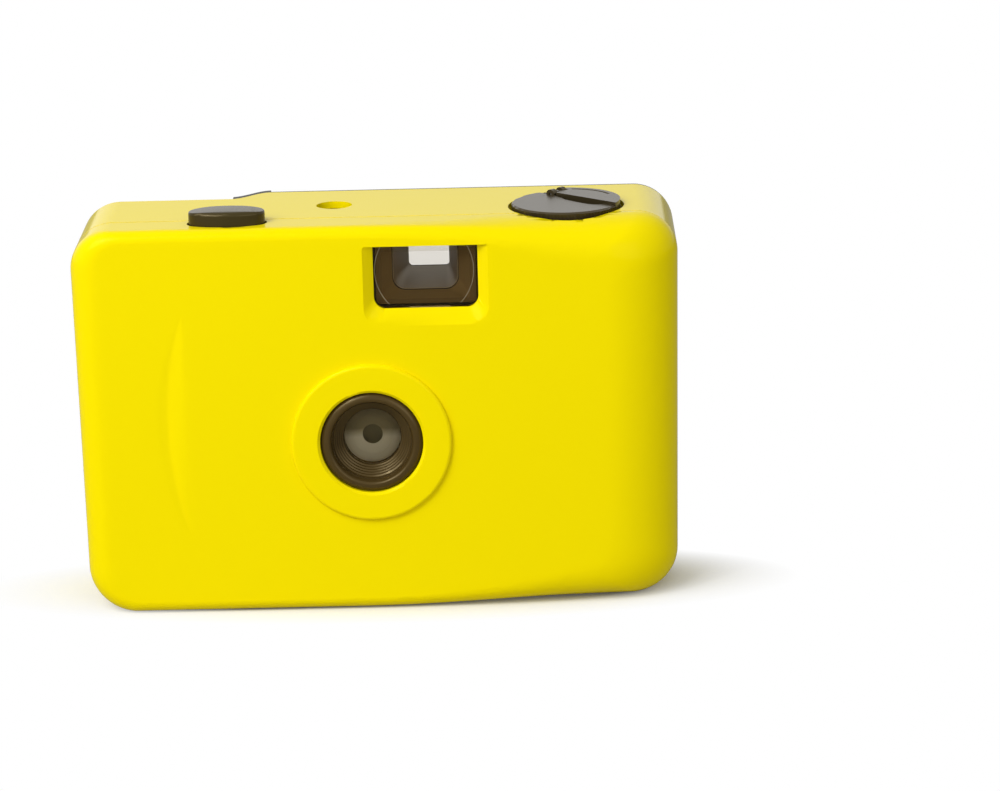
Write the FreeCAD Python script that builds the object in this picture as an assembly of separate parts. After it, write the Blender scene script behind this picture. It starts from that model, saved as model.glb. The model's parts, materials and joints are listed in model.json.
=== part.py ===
import FreeCAD, Part
import math
import os
from FreeCAD import Vector

# A focus-free 35 mm film camera in a two-part moulded shell with a hinged back door.
# Millimetres. +X is the viewer's right when facing the lens, the lens looks along -Y, +Z is up.
# The origin is the middle of the underside.

# Body shell
body_width = 112.0
body_height = 73.0
body_depth = 33.0
lens_ring_proud = 0.9
door_skin = 2.0
side_draft = 0.013
shell_wall = 1.6
seam_depth = 9.0
seam_groove = 0.35
front_foot_rise = 0.15
corner_radius_top = 7.5
corner_radius_bottom = 8.5

# Rounding of the front cover: how far each edge is drawn in, and how deep that rounding runs
edge_round = 2.3
left_round_width = 5.0
left_round_depth = 4.2
right_round_width = 13.5
right_round_depth = 9.0
sweep_top_height = 8.4
sweep_bottom_height = 8.0
sweep_depth = 9.0
sweep_start_x = 12.0
sweep_bend = 16.0

# Lens front
lens_x = -1.4
lens_below_middle = 4.1
lens_ring_radius = 14.9
lens_ring_round = 0.7
bezel_opening_radius = 9.55
bezel_fit_gap = 0.06
bezel_step_count = 7
bezel_rim_set_back = 0.45
bezel_rim_drop = 0.5
bezel_funnel_depth = 3.65
bezel_floor = 0.6
bezel_flange = 0.6
collar_wall = 1.4
front_lens_radius = 6.0
lens_window_radius = 5.3
front_lens_thickness = 1.8
rear_lens_radius = 4.2
rear_lens_thickness = 1.3
lens_dome = 0.6
lens_tube_wall = 1.2
lens_seat_gap = 0.05
lens_flange_radius = 11.5
lens_foot_radius = 1.3
lens_foot_angles = (160, 270, 340)
aperture_thickness = 0.3
aperture_radius = 1.6
light_hole_radius = 3.4

# Viewfinder
finder_x = 9.4
finder_window_width = 19.2
finder_window_height = 11.9
finder_top_margin = 3.7
finder_recess_depth = 1.5
finder_flare_side = 1.9
finder_flare_bottom = 3.0
finder_corner = 2.2
finder_lens_thickness = 1.4
finder_tube_wall = 1.0
finder_wall = 0.9
finder_fit_gap = 0.06
eyepiece_width = 7.8
eyepiece_height = 8.0
eyepiece_lens_thickness = 1.2
eyepiece_lens_rim = 0.9
eyepiece_drop = 1.05
eyepiece_proud = 1.2

# Finger grip scallop on the front
grip_inset = 15.4
grip_half_height = 21.5
grip_width = 5.2
grip_depth = 1.6
grip_wall_width = 2.4
grip_backing = 1.0

# Shutter release button
button_inset = 29.0
button_y = -10.4
button_length = 14.1
button_breadth = 6.9
button_end_radius = 2.5
button_wall = 1.2
button_proud = 2.7
button_crown = 0.45
button_gap = 0.35
button_skirt = 1.2
button_stem_radius = 1.3
button_stem_drop = 2.2
button_edge_round = 0.9
button_spring_radius = 2.2

# Rewind knob and crank
rewind_inset = 20.5
rewind_y = -1.6
knob_radius = 10.1
knob_recess_radius = 10.8
knob_recess_depth = 2.1
knob_floor_wall = 1.2
knob_proud = 0.7
knob_floor_gap = 0.3
knob_turn_degrees = 47.0
knob_edge_bevel = 0.3
knob_notch_angle = 103.5
knob_notch_width = 2.6
knob_notch_depth = 0.5
crank_thickness = 1.2
crank_sunk = 0.7
crank_chord_offset = 3.1
crank_axis_along = 6.6
crank_gap = 0.2
crank_ear_radius = 1.0
crank_ear_gap = 0.2
crank_pin_radius = 0.3
crank_pin_gap = 0.03
crank_pocket_depth = 1.0
rewind_shaft_radius = 2.9
fork_slot_width = 2.4
bush_radius = 4.0
bush_rise = 4.1
fork_blade_length = 5.0
shaft_running_gap = 0.08
journal_fit_gap = 0.02

# Film geometry: 24 x 36 mm frames on perforated 35 mm film
gate_width = 36.0
gate_height = 24.0
film_width = 35.0
perforation_rows = 28.17
cartridge_chamber_radius = 12.8
chamber_wall = 0.9
chassis_gap = 0.15
chamber_floor = 7.0
chamber_to_top = 18.4
deck_thickness = 1.3
film_plane_y = 11.0
rail_height = 0.5
rail_width = 1.2
rail_overrun = 1.0
gate_plate_thickness = 1.4
spool_inset = 16.5
spool_y = 0.4
spool_chamber_radius = 10.6
spool_core_radius = 6.0
spool_flange_radius = 9.6
spool_flange_thickness = 1.2
spool_slot_width = 1.4
spool_gap = 0.3
spool_journal_radius = 2.4
sprocket_journal_radius = 1.5
cartridge_radius = 12.5
sprocket_from_spool = 14.1
sprocket_hub_radius = 5.0
sprocket_teeth = 8
sprocket_tooth_height = 1.0
sprocket_rim_width = 2.0

# Thumb wheel for winding on
wheel_radius = 13.0
wheel_rise = 4.1
wheel_thickness = 5.0
wheel_teeth = 44
wheel_tooth_depth = 0.7
wheel_slot_gap = 0.7
thumb_step_depth = 5.3
thumb_step_from_spool = 11.9
thumb_ramp_length = 7.2
thumb_shelf_drop = 2.2

# Frame counter
counter_x = -7.8
counter_y = 3.1
counter_hole_radius = 3.35
counter_dial_radius = 8.6
counter_dial_thickness = 1.0
counter_dial_drop = 2.0
counter_window_thickness = 1.0
counter_steps = 40
counter_axis_offset = 5.6
dial_pin_radius = 0.7
cam_radius = 3.9
cam_thickness = 1.6
cocking_offset_x = 9.9
cocking_offset_y = -7.6

# Shutter and its plate
shutter_plate_y = -6.4
shutter_plate_thickness = 1.2
blade_thickness = 0.4
blade_gap = 0.35
blade_pivot_x = 10.4
blade_pivot_z = 7.4
blade_eye_radius = 2.2
blade_tail = 3.0
blade_spring_radius = 0.45
blade_spring_wall = 0.2
blade_spring_length = 6.0
pivot_pin_radius = 1.0
pivot_gap = 0.06
lens_mount_flange = 1.2
release_lever_thickness = 1.0
release_arm = 13.5
release_pivot_drop = 4.6
release_eye_radius = 2.2
release_reach = 9.0

# Back door
door_hinge_inset_x = 4.0
door_hinge_radius = 1.5
hinge_pin_radius = 0.6
door_edge_round = 1.4
door_rib_depth = 1.6
door_rib_wall = 1.0
door_gap = 0.35
door_inset = 0.05
door_face_gap = 0.0
hinge_pin_gap = 0.06
door_knuckles = 3
hinge_bottom = 9.0
hinge_top_drop = 1.85
hinge_bore_gap = 0.02
pressure_plate_width = 42.0
pressure_plate_height = 32.0
pressure_plate_thickness = 1.0
pressure_gap = 0.25
latch_length = 13.0
latch_breadth = 4.4
latch_travel = 3.5
latch_rise = 1.5
latch_y = 11.0
latch_gap = 0.25
latch_inner_thickness = 1.4
latch_spring_length = 6.0

# Rewind release on the underside
release_button_radius = 2.6
release_button_recess = 0.6
release_button_travel = 1.2

# Fasteners
screw_head_radius = 1.9
screw_head_height = 1.3
screw_shank_radius = 0.9
screw_shank_length = 6.0
boss_radius = 2.6
boss_low_rise = 3.2
boss_high_rise = 6.1
boss_left_of_lens = 18.6
boss_left_of_rewind = 17.0
boss_left_of_finder = 17.9
boss_right_of_finder = 14.8


# The corners of a rectangle as signs, in order round it
QUADRANTS = ((-1, -1), (-1, 1), (1, 1), (1, -1))


def half_width(z):
    return body_width / 2 - side_draft * (body_height - z)


# Worked-out places
face_y = -(lens_ring_proud + body_depth + door_skin) / 2 + lens_ring_proud
seam_y = face_y + seam_depth
back_y = face_y + body_depth
door_back_y = back_y + door_skin
ring_front_y = face_y - lens_ring_proud
lens_z = body_height / 2 - lens_below_middle
finder_window_top = body_height - finder_top_margin
finder_window_bottom = finder_window_top - finder_window_height
finder_z = (finder_window_bottom + finder_window_top) / 2
eyepiece_z = finder_z - eyepiece_drop
grip_x = grip_inset - body_width / 2
grip_z = body_height / 2
button_x = button_inset - body_width / 2
rewind_x = body_width / 2 - rewind_inset
spool_x = spool_inset - body_width / 2
sprocket_x = spool_x + sprocket_from_spool
chamber_ceiling = body_height - chamber_to_top
deck_top = chamber_ceiling + deck_thickness
top_inner_z = body_height - shell_wall
knob_floor_z = body_height - knob_recess_depth
bush_top = deck_top + bush_rise
button_stem_bottom = chamber_ceiling - button_stem_drop
wheel_bottom = deck_top + wheel_rise
wheel_top = wheel_bottom + wheel_thickness
thumb_shelf_z = wheel_bottom - thumb_shelf_drop
thumb_step_x = spool_x + thumb_step_from_spool
thumb_ramp_end_x = thumb_step_x + thumb_ramp_length
thumb_wall_y = back_y - thumb_step_depth
hinge_x = -body_width / 2 + door_hinge_inset_x
hinge_y = door_back_y - door_hinge_radius
shelf_low_z = thumb_shelf_z - shell_wall - door_gap
hinge_top = shelf_low_z - hinge_top_drop
sprocket_y = film_plane_y - sprocket_hub_radius - 0.4
bezel_rim_y = ring_front_y + bezel_rim_set_back
bezel_back_y = bezel_rim_y + bezel_rim_drop + bezel_funnel_depth + bezel_floor
front_lens_y = bezel_back_y - bezel_floor + 0.25
aperture_y = front_lens_y + front_lens_thickness
rear_lens_y = aperture_y + aperture_thickness + 0.3
shutter_front_y = shutter_plate_y - shutter_plate_thickness
blade_y = shutter_front_y - blade_gap - blade_thickness
blade_pin_x = lens_x + blade_pivot_x
blade_pin_z = lens_z + blade_pivot_z
release_lever_y = shutter_front_y - 1.0 - release_lever_thickness
release_pivot_x = button_x + release_arm
release_pivot_z = chamber_ceiling - release_pivot_drop
crank_bottom = body_height + knob_proud - crank_sunk
crank_axis_z = crank_bottom + crank_thickness / 2
dial_x = counter_x - counter_axis_offset
counter_dial_top = top_inner_z - counter_dial_drop
dial_bottom = counter_dial_top - counter_dial_thickness
cam_bottom = deck_top + 0.4
cocking_x = sprocket_x + cocking_offset_x
cocking_y = sprocket_y + cocking_offset_y
finder_tube_front = face_y + finder_recess_depth + finder_wall + finder_lens_thickness + 0.05
finder_tube_rear = back_y - 2.0
eyepiece_end_y = back_y + eyepiece_proud
release_top = chamber_floor - deck_thickness - release_button_travel - 0.1
latch_z = body_height / 2 + latch_rise
latch_inner_x = half_width(latch_z) - shell_wall - 0.15


def box(x0, x1, y0, y1, z0, z1):
    return Part.makeBox(x1 - x0, y1 - y0, z1 - z0, Vector(x0, y0, z0))


def upright(x, y, z0, z1, radius):
    return Part.makeCylinder(radius, z1 - z0, Vector(x, y, z0))


def along_y(x, z, y0, y1, radius):
    return Part.makeCylinder(radius, y1 - y0, Vector(x, y0, z), Vector(0, 1, 0))


def fuse_all(shapes):
    whole = shapes[0]
    for shape in shapes[1:]:
        whole = whole.fuse(shape)
    return whole.removeSplitter()


def prism(points, along):
    """A straight-sided solid: the closed outline through the points, pushed along a vector."""
    return Part.Face(Part.makePolygon(list(points) + [points[0]])).extrude(along)


def corner_arc(before, corner, after, radius):
    """The rounding of one corner: where it starts, its middle and where it ends."""
    to_before = (before - corner).normalize()
    to_after = (after - corner).normalize()
    half = to_before.getAngle(to_after) / 2
    reach = radius / math.tan(half)
    bisector = (to_before + to_after).normalize()
    centre = corner + bisector * (radius / math.sin(half))
    return corner + to_before * reach, centre - bisector * radius, corner + to_after * reach


def rounded_wire(points, radii):
    """A closed wire of straight sides with an arc at each corner that has a radius."""
    count = len(points)
    starts = []
    ends = []
    arcs = []
    for index in range(count):
        corner = points[index]
        if radii[index] == 0:
            starts.append(corner)
            ends.append(corner)
            arcs.append(None)
            continue
        first, middle, last = corner_arc(points[index - 1], corner, points[(index + 1) % count], radii[index])
        starts.append(first)
        ends.append(last)
        arcs.append(Part.Arc(first, middle, last).toShape())
    edges = []
    for index in range(count):
        if arcs[index]:
            edges.append(arcs[index])
        following = starts[(index + 1) % count]
        if ends[index].distanceToPoint(following) > 1e-6:
            edges.append(Part.LineSegment(ends[index], following).toShape())
    return Part.Wire(edges)


def rounded_plate(x0, x1, z0, z1, radius, y0, y1):
    """A plate facing the lens side, with rounded corners."""
    points = [Vector(x0, y0, z0), Vector(x0, y0, z1), Vector(x1, y0, z1), Vector(x1, y0, z0)]
    return Part.Face(rounded_wire(points, [radius] * 4)).extrude(Vector(0, y1 - y0, 0))


def draw_in(depth, width, run):
    """How far an elliptical rounding of this width and run stands in from the edge at a depth."""
    if depth >= run:
        return 0.0
    return width * (1 - math.sqrt(1 - ((run - depth) / run) ** 2))


def body_outline(y, depth, wall):
    """The front view of the shell at one depth, drawn in by the roundings and by a wall.

    The underside stands a little higher than the rear half's, so the body rests on that half.
    """
    scale = (seam_depth - wall) / seam_depth
    run_small = max(edge_round - wall, 0.5)
    left = draw_in(depth, max(left_round_width - wall, 1.0), (left_round_depth - wall))
    right = draw_in(depth, right_round_width - wall, right_round_depth * scale)
    top_left = draw_in(depth, run_small, run_small)
    top_right = draw_in(depth, sweep_top_height - wall, sweep_depth * scale)
    low_left = draw_in(depth, run_small, run_small)
    low_right = draw_in(depth, sweep_bottom_height - wall, sweep_depth * scale)
    high = body_height - wall - top_left
    low = front_foot_rise + wall + low_left
    right_high = body_height - wall - top_right
    right_low = front_foot_rise + wall + low_right
    top_left_corner = Vector(-half_width(high) + wall + left, y, high)
    low_left_corner = Vector(-half_width(low) + wall + left, y, low)
    top_right_corner = Vector(half_width(right_high) - wall - right, y, right_high)
    low_right_corner = Vector(half_width(right_low) - wall - right, y, right_low)
    shrink = 0.45
    radii = [
        corner_radius_top - wall - shrink * (top_left + left),
        corner_radius_top - wall - shrink * 0.35 * (top_right + right),
        corner_radius_bottom - wall - shrink * 0.35 * (low_right + right),
        corner_radius_bottom - wall - shrink * (low_left + left),
    ]
    upper_bend = Vector(sweep_start_x, y, high)
    lower_bend = Vector(sweep_start_x, y, low)
    edges = []
    corners = [
        (low_left_corner, top_left_corner, upper_bend, radii[0]),
        (upper_bend, top_right_corner, low_right_corner, radii[1]),
        (top_right_corner, low_right_corner, lower_bend, radii[2]),
        (lower_bend, low_left_corner, top_left_corner, radii[3]),
    ]
    arcs = [corner_arc(before, corner, after, radius) for before, corner, after, radius in corners]
    bends = []
    for bend, arc_before, arc_after in ((upper_bend, arcs[0], arcs[1]), (lower_bend, arcs[2], arcs[3])):
        into = bend + (arc_before[2] - bend).normalize() * sweep_bend
        out = bend + (arc_after[0] - bend).normalize() * sweep_bend
        curve = Part.BezierCurve()
        curve.setPoles([into, bend, out])
        bends.append((into, curve, out))
    edges.append(Part.Arc(*arcs[0]))
    edges.append(Part.LineSegment(arcs[0][2], bends[0][0]))
    edges.append(bends[0][1])
    edges.append(Part.LineSegment(bends[0][2], arcs[1][0]))
    edges.append(Part.Arc(*arcs[1]))
    edges.append(Part.LineSegment(arcs[1][2], arcs[2][0]))
    edges.append(Part.Arc(*arcs[2]))
    edges.append(Part.LineSegment(arcs[2][2], bends[1][0]))
    edges.append(bends[1][1])
    edges.append(Part.LineSegment(bends[1][2], arcs[3][0]))
    edges.append(Part.Arc(*arcs[3]))
    edges.append(Part.LineSegment(arcs[3][2], arcs[0][0]))
    return Part.Wire([edge.toShape() for edge in edges])


def front_form(wall):
    """The rounded front of the body, from the face back to the seam, drawn in by a wall."""
    full = seam_depth - wall
    wires = []
    for share in (0.0, 0.02, 0.06, 0.12, 0.2, 0.3, 0.42, 0.56, 0.7, 0.85, 1.0):
        depth = full * share
        wires.append(body_outline(face_y + wall + depth, depth, wall))
    return Part.makeLoft(wires, True, False, False, 3)


def band_form(wall, y0, y1):
    """The straight part of the body between two depths, drawn in by a wall."""
    high = body_height - wall
    left_low = -half_width(wall) + wall
    left_high = -half_width(high) + wall
    corners = [Vector(left_low, y0, wall), Vector(left_high, y0, high),
               Vector(-left_high, y0, high), Vector(-left_low, y0, wall)]
    radii = [corner_radius_bottom - wall, corner_radius_top - wall,
             corner_radius_top - wall, corner_radius_bottom - wall]
    return Part.Face(rounded_wire(corners, radii)).extrude(Vector(0, y1 - y0, 0))


def oval_wire(z, grow):
    """The button's oval outline at one height: four tangent arcs, grown all round."""
    half = button_length / 2 + grow
    side = button_breadth / 2 + grow
    end_radius = button_end_radius + grow
    side_radius = ((half - end_radius) ** 2 + side ** 2 - end_radius ** 2) / (2 * (side - end_radius))
    lean = Vector(half - end_radius, side_radius - side, 0).normalize()
    joint_x = half - end_radius + end_radius * lean.x
    joint_y = end_radius * lean.y
    middle = Vector(button_x, button_y, z)
    joints = [middle + Vector(sx * joint_x, sy * joint_y, 0) for sx, sy in ((1, -1), (1, 1), (-1, 1), (-1, -1))]
    crests = [middle + Vector(half, 0, 0), middle + Vector(0, side, 0),
              middle - Vector(half, 0, 0), middle - Vector(0, side, 0)]
    edges = [Part.Arc(joints[index], crests[index], joints[(index + 1) % 4]).toShape() for index in range(4)]
    return Part.Wire(edges)


def oval_bar(z0, z1, grow):
    return Part.Face(oval_wire(z0, grow)).extrude(Vector(0, 0, z1 - z0))


def revolve_about_lens(profile):
    """Turns a profile of (radius, y) pairs about the lens axis."""
    points = [Vector(lens_x + radius, y, lens_z) for radius, y in profile]
    face = Part.Face(Part.makePolygon(points + [points[0]]))
    return face.revolve(Vector(lens_x, 0, lens_z), Vector(0, 1, 0), 360)


def export(name, shape):
    if not shape.isValid():
        print("NOT VALID", name)
    shape.exportStep("parts/" + name + ".step")
    bound = shape.BoundBox
    print(name, len(shape.Solids), round(shape.Volume, 1),
          [round(value, 2) for value in (bound.XMin, bound.XMax, bound.YMin, bound.YMax, bound.ZMin, bound.ZMax)])


# Openings that both shells share
def button_hole(gap):
    return oval_bar(deck_top, body_height + 5, gap)


def knob_recess():
    return upright(rewind_x, rewind_y, knob_floor_z, body_height + 5, knob_recess_radius)


def knob_well():
    """The round well that carries the knob recess, joined to the underside of the top."""
    radius = knob_recess_radius + knob_floor_wall
    return upright(rewind_x, rewind_y, knob_floor_z - knob_floor_wall, top_inner_z + 0.2, radius)


# Front cover
def finder_wire(y, flare):
    """The viewfinder opening's outline at one depth; flare runs from 0 inside to 1 at the face."""
    left = finder_x - finder_window_width / 2 - finder_flare_side * flare
    right = finder_x + finder_window_width / 2 + finder_flare_side * flare
    low = finder_window_bottom - finder_flare_bottom * flare
    points = [Vector(left, y, low), Vector(left, y, finder_window_top),
              Vector(right, y, finder_window_top), Vector(right, y, low)]
    radius = finder_corner + flare
    return rounded_wire(points, [radius, 0.5, 0.5, radius])


def finder_flare():
    inner = finder_wire(face_y + finder_recess_depth, 0.0)
    outer = finder_wire(face_y, 1.0)
    beyond = finder_wire(face_y - 1.0, 1.0 + 1.0 / finder_recess_depth)
    return Part.makeLoft([inner, outer, beyond], True, True)


def grip_cut():
    """A scallop with a sloped wall on its outer side that fades out at both tips."""
    sagitta = grip_width
    radius = (grip_half_height ** 2 + sagitta ** 2) / (2 * sagitta)
    centre_x = grip_x + radius
    slope = grip_wall_width / grip_depth
    height = 6.0
    cone = Part.makeCone(radius - grip_wall_width, radius + slope * height, height + grip_depth,
                         Vector(centre_x, face_y + grip_depth, grip_z), Vector(0, -1, 0))
    lean = math.degrees(math.atan2(grip_depth, grip_width))
    floor_edge = Vector(grip_x + grip_width, face_y, grip_z)
    keep = box(grip_x - 40, grip_x + grip_width, face_y - 30, face_y + 6, grip_z - 60, grip_z + 60)
    floor = box(grip_x - 60, grip_x + 60, face_y, face_y + 40, grip_z - 80, grip_z + 80)
    floor.rotate(floor_edge, Vector(0, 0, 1), -lean)
    return cone.common(keep).cut(floor)


def grip_backing_pad():
    """The thicker wall behind the scallop."""
    reach = grip_half_height + 1.0
    pad = box(grip_x - grip_wall_width, grip_x + grip_width + 1.0, face_y + shell_wall - 0.2,
              face_y + shell_wall + grip_backing, grip_z - reach, grip_z + reach)
    return pad.common(front_form(0.3))


def make_front_cover():
    outer = front_form(0.0)
    inner = front_form(shell_wall).fuse(band_form(shell_wall, seam_y - 0.4, seam_y + 1.0))
    cover = outer.cut(inner)
    ring = along_y(lens_x, lens_z, ring_front_y, face_y + 0.4, lens_ring_radius)
    ring_edge = [edge for edge in ring.Edges if abs(edge.CenterOfMass.y - ring_front_y) < 1e-4 and edge.Length > 10]
    ring = ring.makeFillet(lens_ring_round, ring_edge)
    collar = along_y(lens_x, lens_z, face_y + 0.4, face_y + shell_wall + 2.0, bezel_opening_radius + collar_wall)
    cover = cover.fuse(ring).fuse(collar)
    mouth = revolve_about_lens([(0, ring_front_y - 1), (bezel_opening_radius + 0.5, ring_front_y - 1),
                                (bezel_opening_radius + 0.5, ring_front_y),
                                (bezel_opening_radius, ring_front_y + 0.5),
                                (bezel_opening_radius, face_y + shell_wall + 3), (0, face_y + shell_wall + 3)])
    cover = cover.cut(mouth)
    pocket_lip = rounded_plate(finder_x - finder_window_width / 2 - 1.3, finder_x + finder_window_width / 2 + 1.3,
                               finder_window_bottom - 4.4, finder_window_top + 1.2, finder_corner,
                               face_y + shell_wall - 0.2, face_y + finder_recess_depth + 0.9)
    cover = cover.fuse(pocket_lip)
    window = Part.Face(finder_wire(face_y - 1.0, 0.0)).extrude(Vector(0, 10, 0))
    cover = cover.cut(finder_flare()).cut(window)
    cover = cover.fuse(grip_backing_pad()).cut(grip_cut())
    well = knob_well().common(front_form(0.3))
    cover = cover.fuse(well).cut(knob_recess())
    cover = cover.cut(button_hole(button_gap))
    cover = cover.cut(upright(rewind_x, rewind_y, deck_top, body_height, rewind_shaft_radius + 0.4))
    for x, z in boss_places():
        boss = along_y(x, z, face_y + shell_wall - 0.2, seam_y - 1.2, boss_radius)
        boss = boss.cut(along_y(x, z, face_y + 3.0, seam_y, screw_shank_radius + 0.3))
        cover = cover.fuse(boss)
    return cover.removeSplitter()


def boss_places():
    """The x and z of the four screws between the front cover and the moulding inside."""
    low = chamber_floor + boss_low_rise
    high = deck_top + boss_high_rise
    return [(lens_x - boss_left_of_lens, low), (rewind_x - boss_left_of_rewind, low),
            (finder_x - boss_left_of_finder, high), (finder_x + boss_right_of_finder, high)]


# Rear shell
def thumb_ramp(shift):
    """The S-shaped run, seen from above, from the thumb recess back to the door line."""
    handle = 2.6
    curve = Part.BezierCurve()
    curve.setPoles([Vector(thumb_step_x, thumb_wall_y + shift, 0),
                    Vector(thumb_step_x + handle, thumb_wall_y + shift, 0),
                    Vector(thumb_ramp_end_x - handle, back_y + shift, 0),
                    Vector(thumb_ramp_end_x, back_y + shift, 0)])
    return curve.toShape()


def ramp_area(low, high, near, far):
    """The solid between two copies of the ramp run, shifted back by near and far."""
    first = thumb_ramp(near)
    second = thumb_ramp(far)
    sides = []
    for index in (0, -1):
        sides.append(Part.LineSegment(first.Vertexes[index].Point, second.Vertexes[index].Point).toShape())
    area = Part.Face(Part.Wire([first, sides[1], second, sides[0]]))
    area.translate(Vector(0, 0, low))
    return area.extrude(Vector(0, 0, high - low))


def thumb_recess():
    """The space cut out of the rear top corner where the thumb reaches the wheel."""
    corner = box(-body_width, thumb_step_x, thumb_wall_y, back_y + 20, thumb_shelf_z, body_height + 10)
    ramp = ramp_area(thumb_shelf_z, body_height + 10, 0.0, 20.0)
    return corner.fuse(ramp)


def hinge_segments():
    """The lowest and highest point of each hinge knuckle, from the bottom up."""
    count = 2 * door_knuckles - 1
    pitch = (hinge_top - hinge_bottom) / count
    gap = 0.15
    return [(hinge_bottom + index * pitch + gap, hinge_bottom + (index + 1) * pitch - gap) for index in range(count)]


def make_rear_shell():
    shell = band_form(0.0, seam_y, back_y).cut(band_form(shell_wall, seam_y - 1, back_y + 1))
    cheek_x = hinge_x - door_hinge_radius - 0.15
    cheek = band_form(0.0, back_y - 0.1, hinge_y + 0.4)
    cheek = cheek.common(box(-body_width, cheek_x, back_y - 1, door_back_y, 0, thumb_shelf_z - 0.1))
    shell = shell.fuse(cheek)
    lip = band_form(0.0, seam_y - 0.1, seam_y + seam_groove).cut(band_form(seam_groove, seam_y - 1, back_y))
    shell = shell.cut(lip)
    inside = band_form(shell_wall - 0.2, seam_y + 2, door_back_y - 0.5)
    wall = box(-body_width, thumb_step_x, thumb_wall_y - shell_wall, thumb_wall_y, thumb_shelf_z, body_height)
    shelf = box(-body_width, thumb_step_x, thumb_wall_y - shell_wall, door_back_y - 0.5,
                thumb_shelf_z - shell_wall, thumb_shelf_z)
    left_side = box(-body_width, 0, -50, 50, -10, 100)
    shelf = shelf.common(band_form(0.0, seam_y, door_back_y))
    shell = shell.cut(thumb_recess())
    shell = shell.fuse(wall.common(inside).common(left_side)).fuse(shelf)
    slot_half = math.sqrt((wheel_radius + wheel_slot_gap) ** 2 - (thumb_wall_y - shell_wall - spool_y) ** 2) + 0.2
    slot = box(spool_x - slot_half, spool_x + slot_half, thumb_wall_y - shell_wall - 1, thumb_wall_y + 1,
               wheel_bottom - wheel_slot_gap, wheel_top + wheel_slot_gap)
    shell = shell.cut(slot)
    well = knob_well().common(band_form(0.3, seam_y, back_y))
    shell = shell.fuse(well).cut(knob_recess())
    shell = shell.cut(upright(rewind_x, rewind_y, deck_top, body_height, rewind_shaft_radius + 0.4))
    shell = shell.cut(button_hole(button_gap))
    shell = shell.cut(upright(counter_x, counter_y, top_inner_z - 1, body_height + 1, counter_hole_radius))
    shell = shell.cut(upright(sprocket_x, sprocket_y, -1, shell_wall + 1, release_button_radius + 0.2))
    slot_x = half_width(latch_z) - 4
    slot_low = latch_z - latch_length / 2 - latch_travel - latch_gap
    slot_high = latch_z + latch_length / 2 + latch_gap
    shell = shell.cut(box(slot_x, slot_x + 10, latch_y - latch_breadth / 2, latch_y + latch_breadth / 2,
                          slot_low, slot_high))
    shell = shell.cut(upright(hinge_x, hinge_y, 0, shelf_low_z, door_hinge_radius + door_gap))
    bore = upright(hinge_x, hinge_y, 0, body_height, hinge_pin_radius + hinge_bore_gap)
    for low, high in hinge_segments()[0::2]:
        knuckle = upright(hinge_x, hinge_y, low, high, door_hinge_radius)
        web = box(-half_width(low) + 0.6, hinge_x, hinge_y - door_hinge_radius, hinge_y, low, high)
        shell = shell.fuse(knuckle.fuse(web).cut(bore))
    return shell.removeSplitter()


# Chassis
def light_box(grow):
    """The dark tunnel from the shutter plate back to the film gate."""
    near = 7.0 + grow
    rear_x = gate_width / 2 + grow
    rear_z = gate_height / 2 + grow
    front = [Vector(lens_x + sx * near, shutter_plate_y, lens_z + sz * near) for sx, sz in QUADRANTS]
    back = [Vector(lens_x + sx * rear_x, film_plane_y, lens_z + sz * rear_z) for sx, sz in QUADRANTS]
    wires = [Part.makePolygon(points + [points[0]]) for points in (front, back)]
    return Part.makeLoft(wires, True, True)


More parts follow.
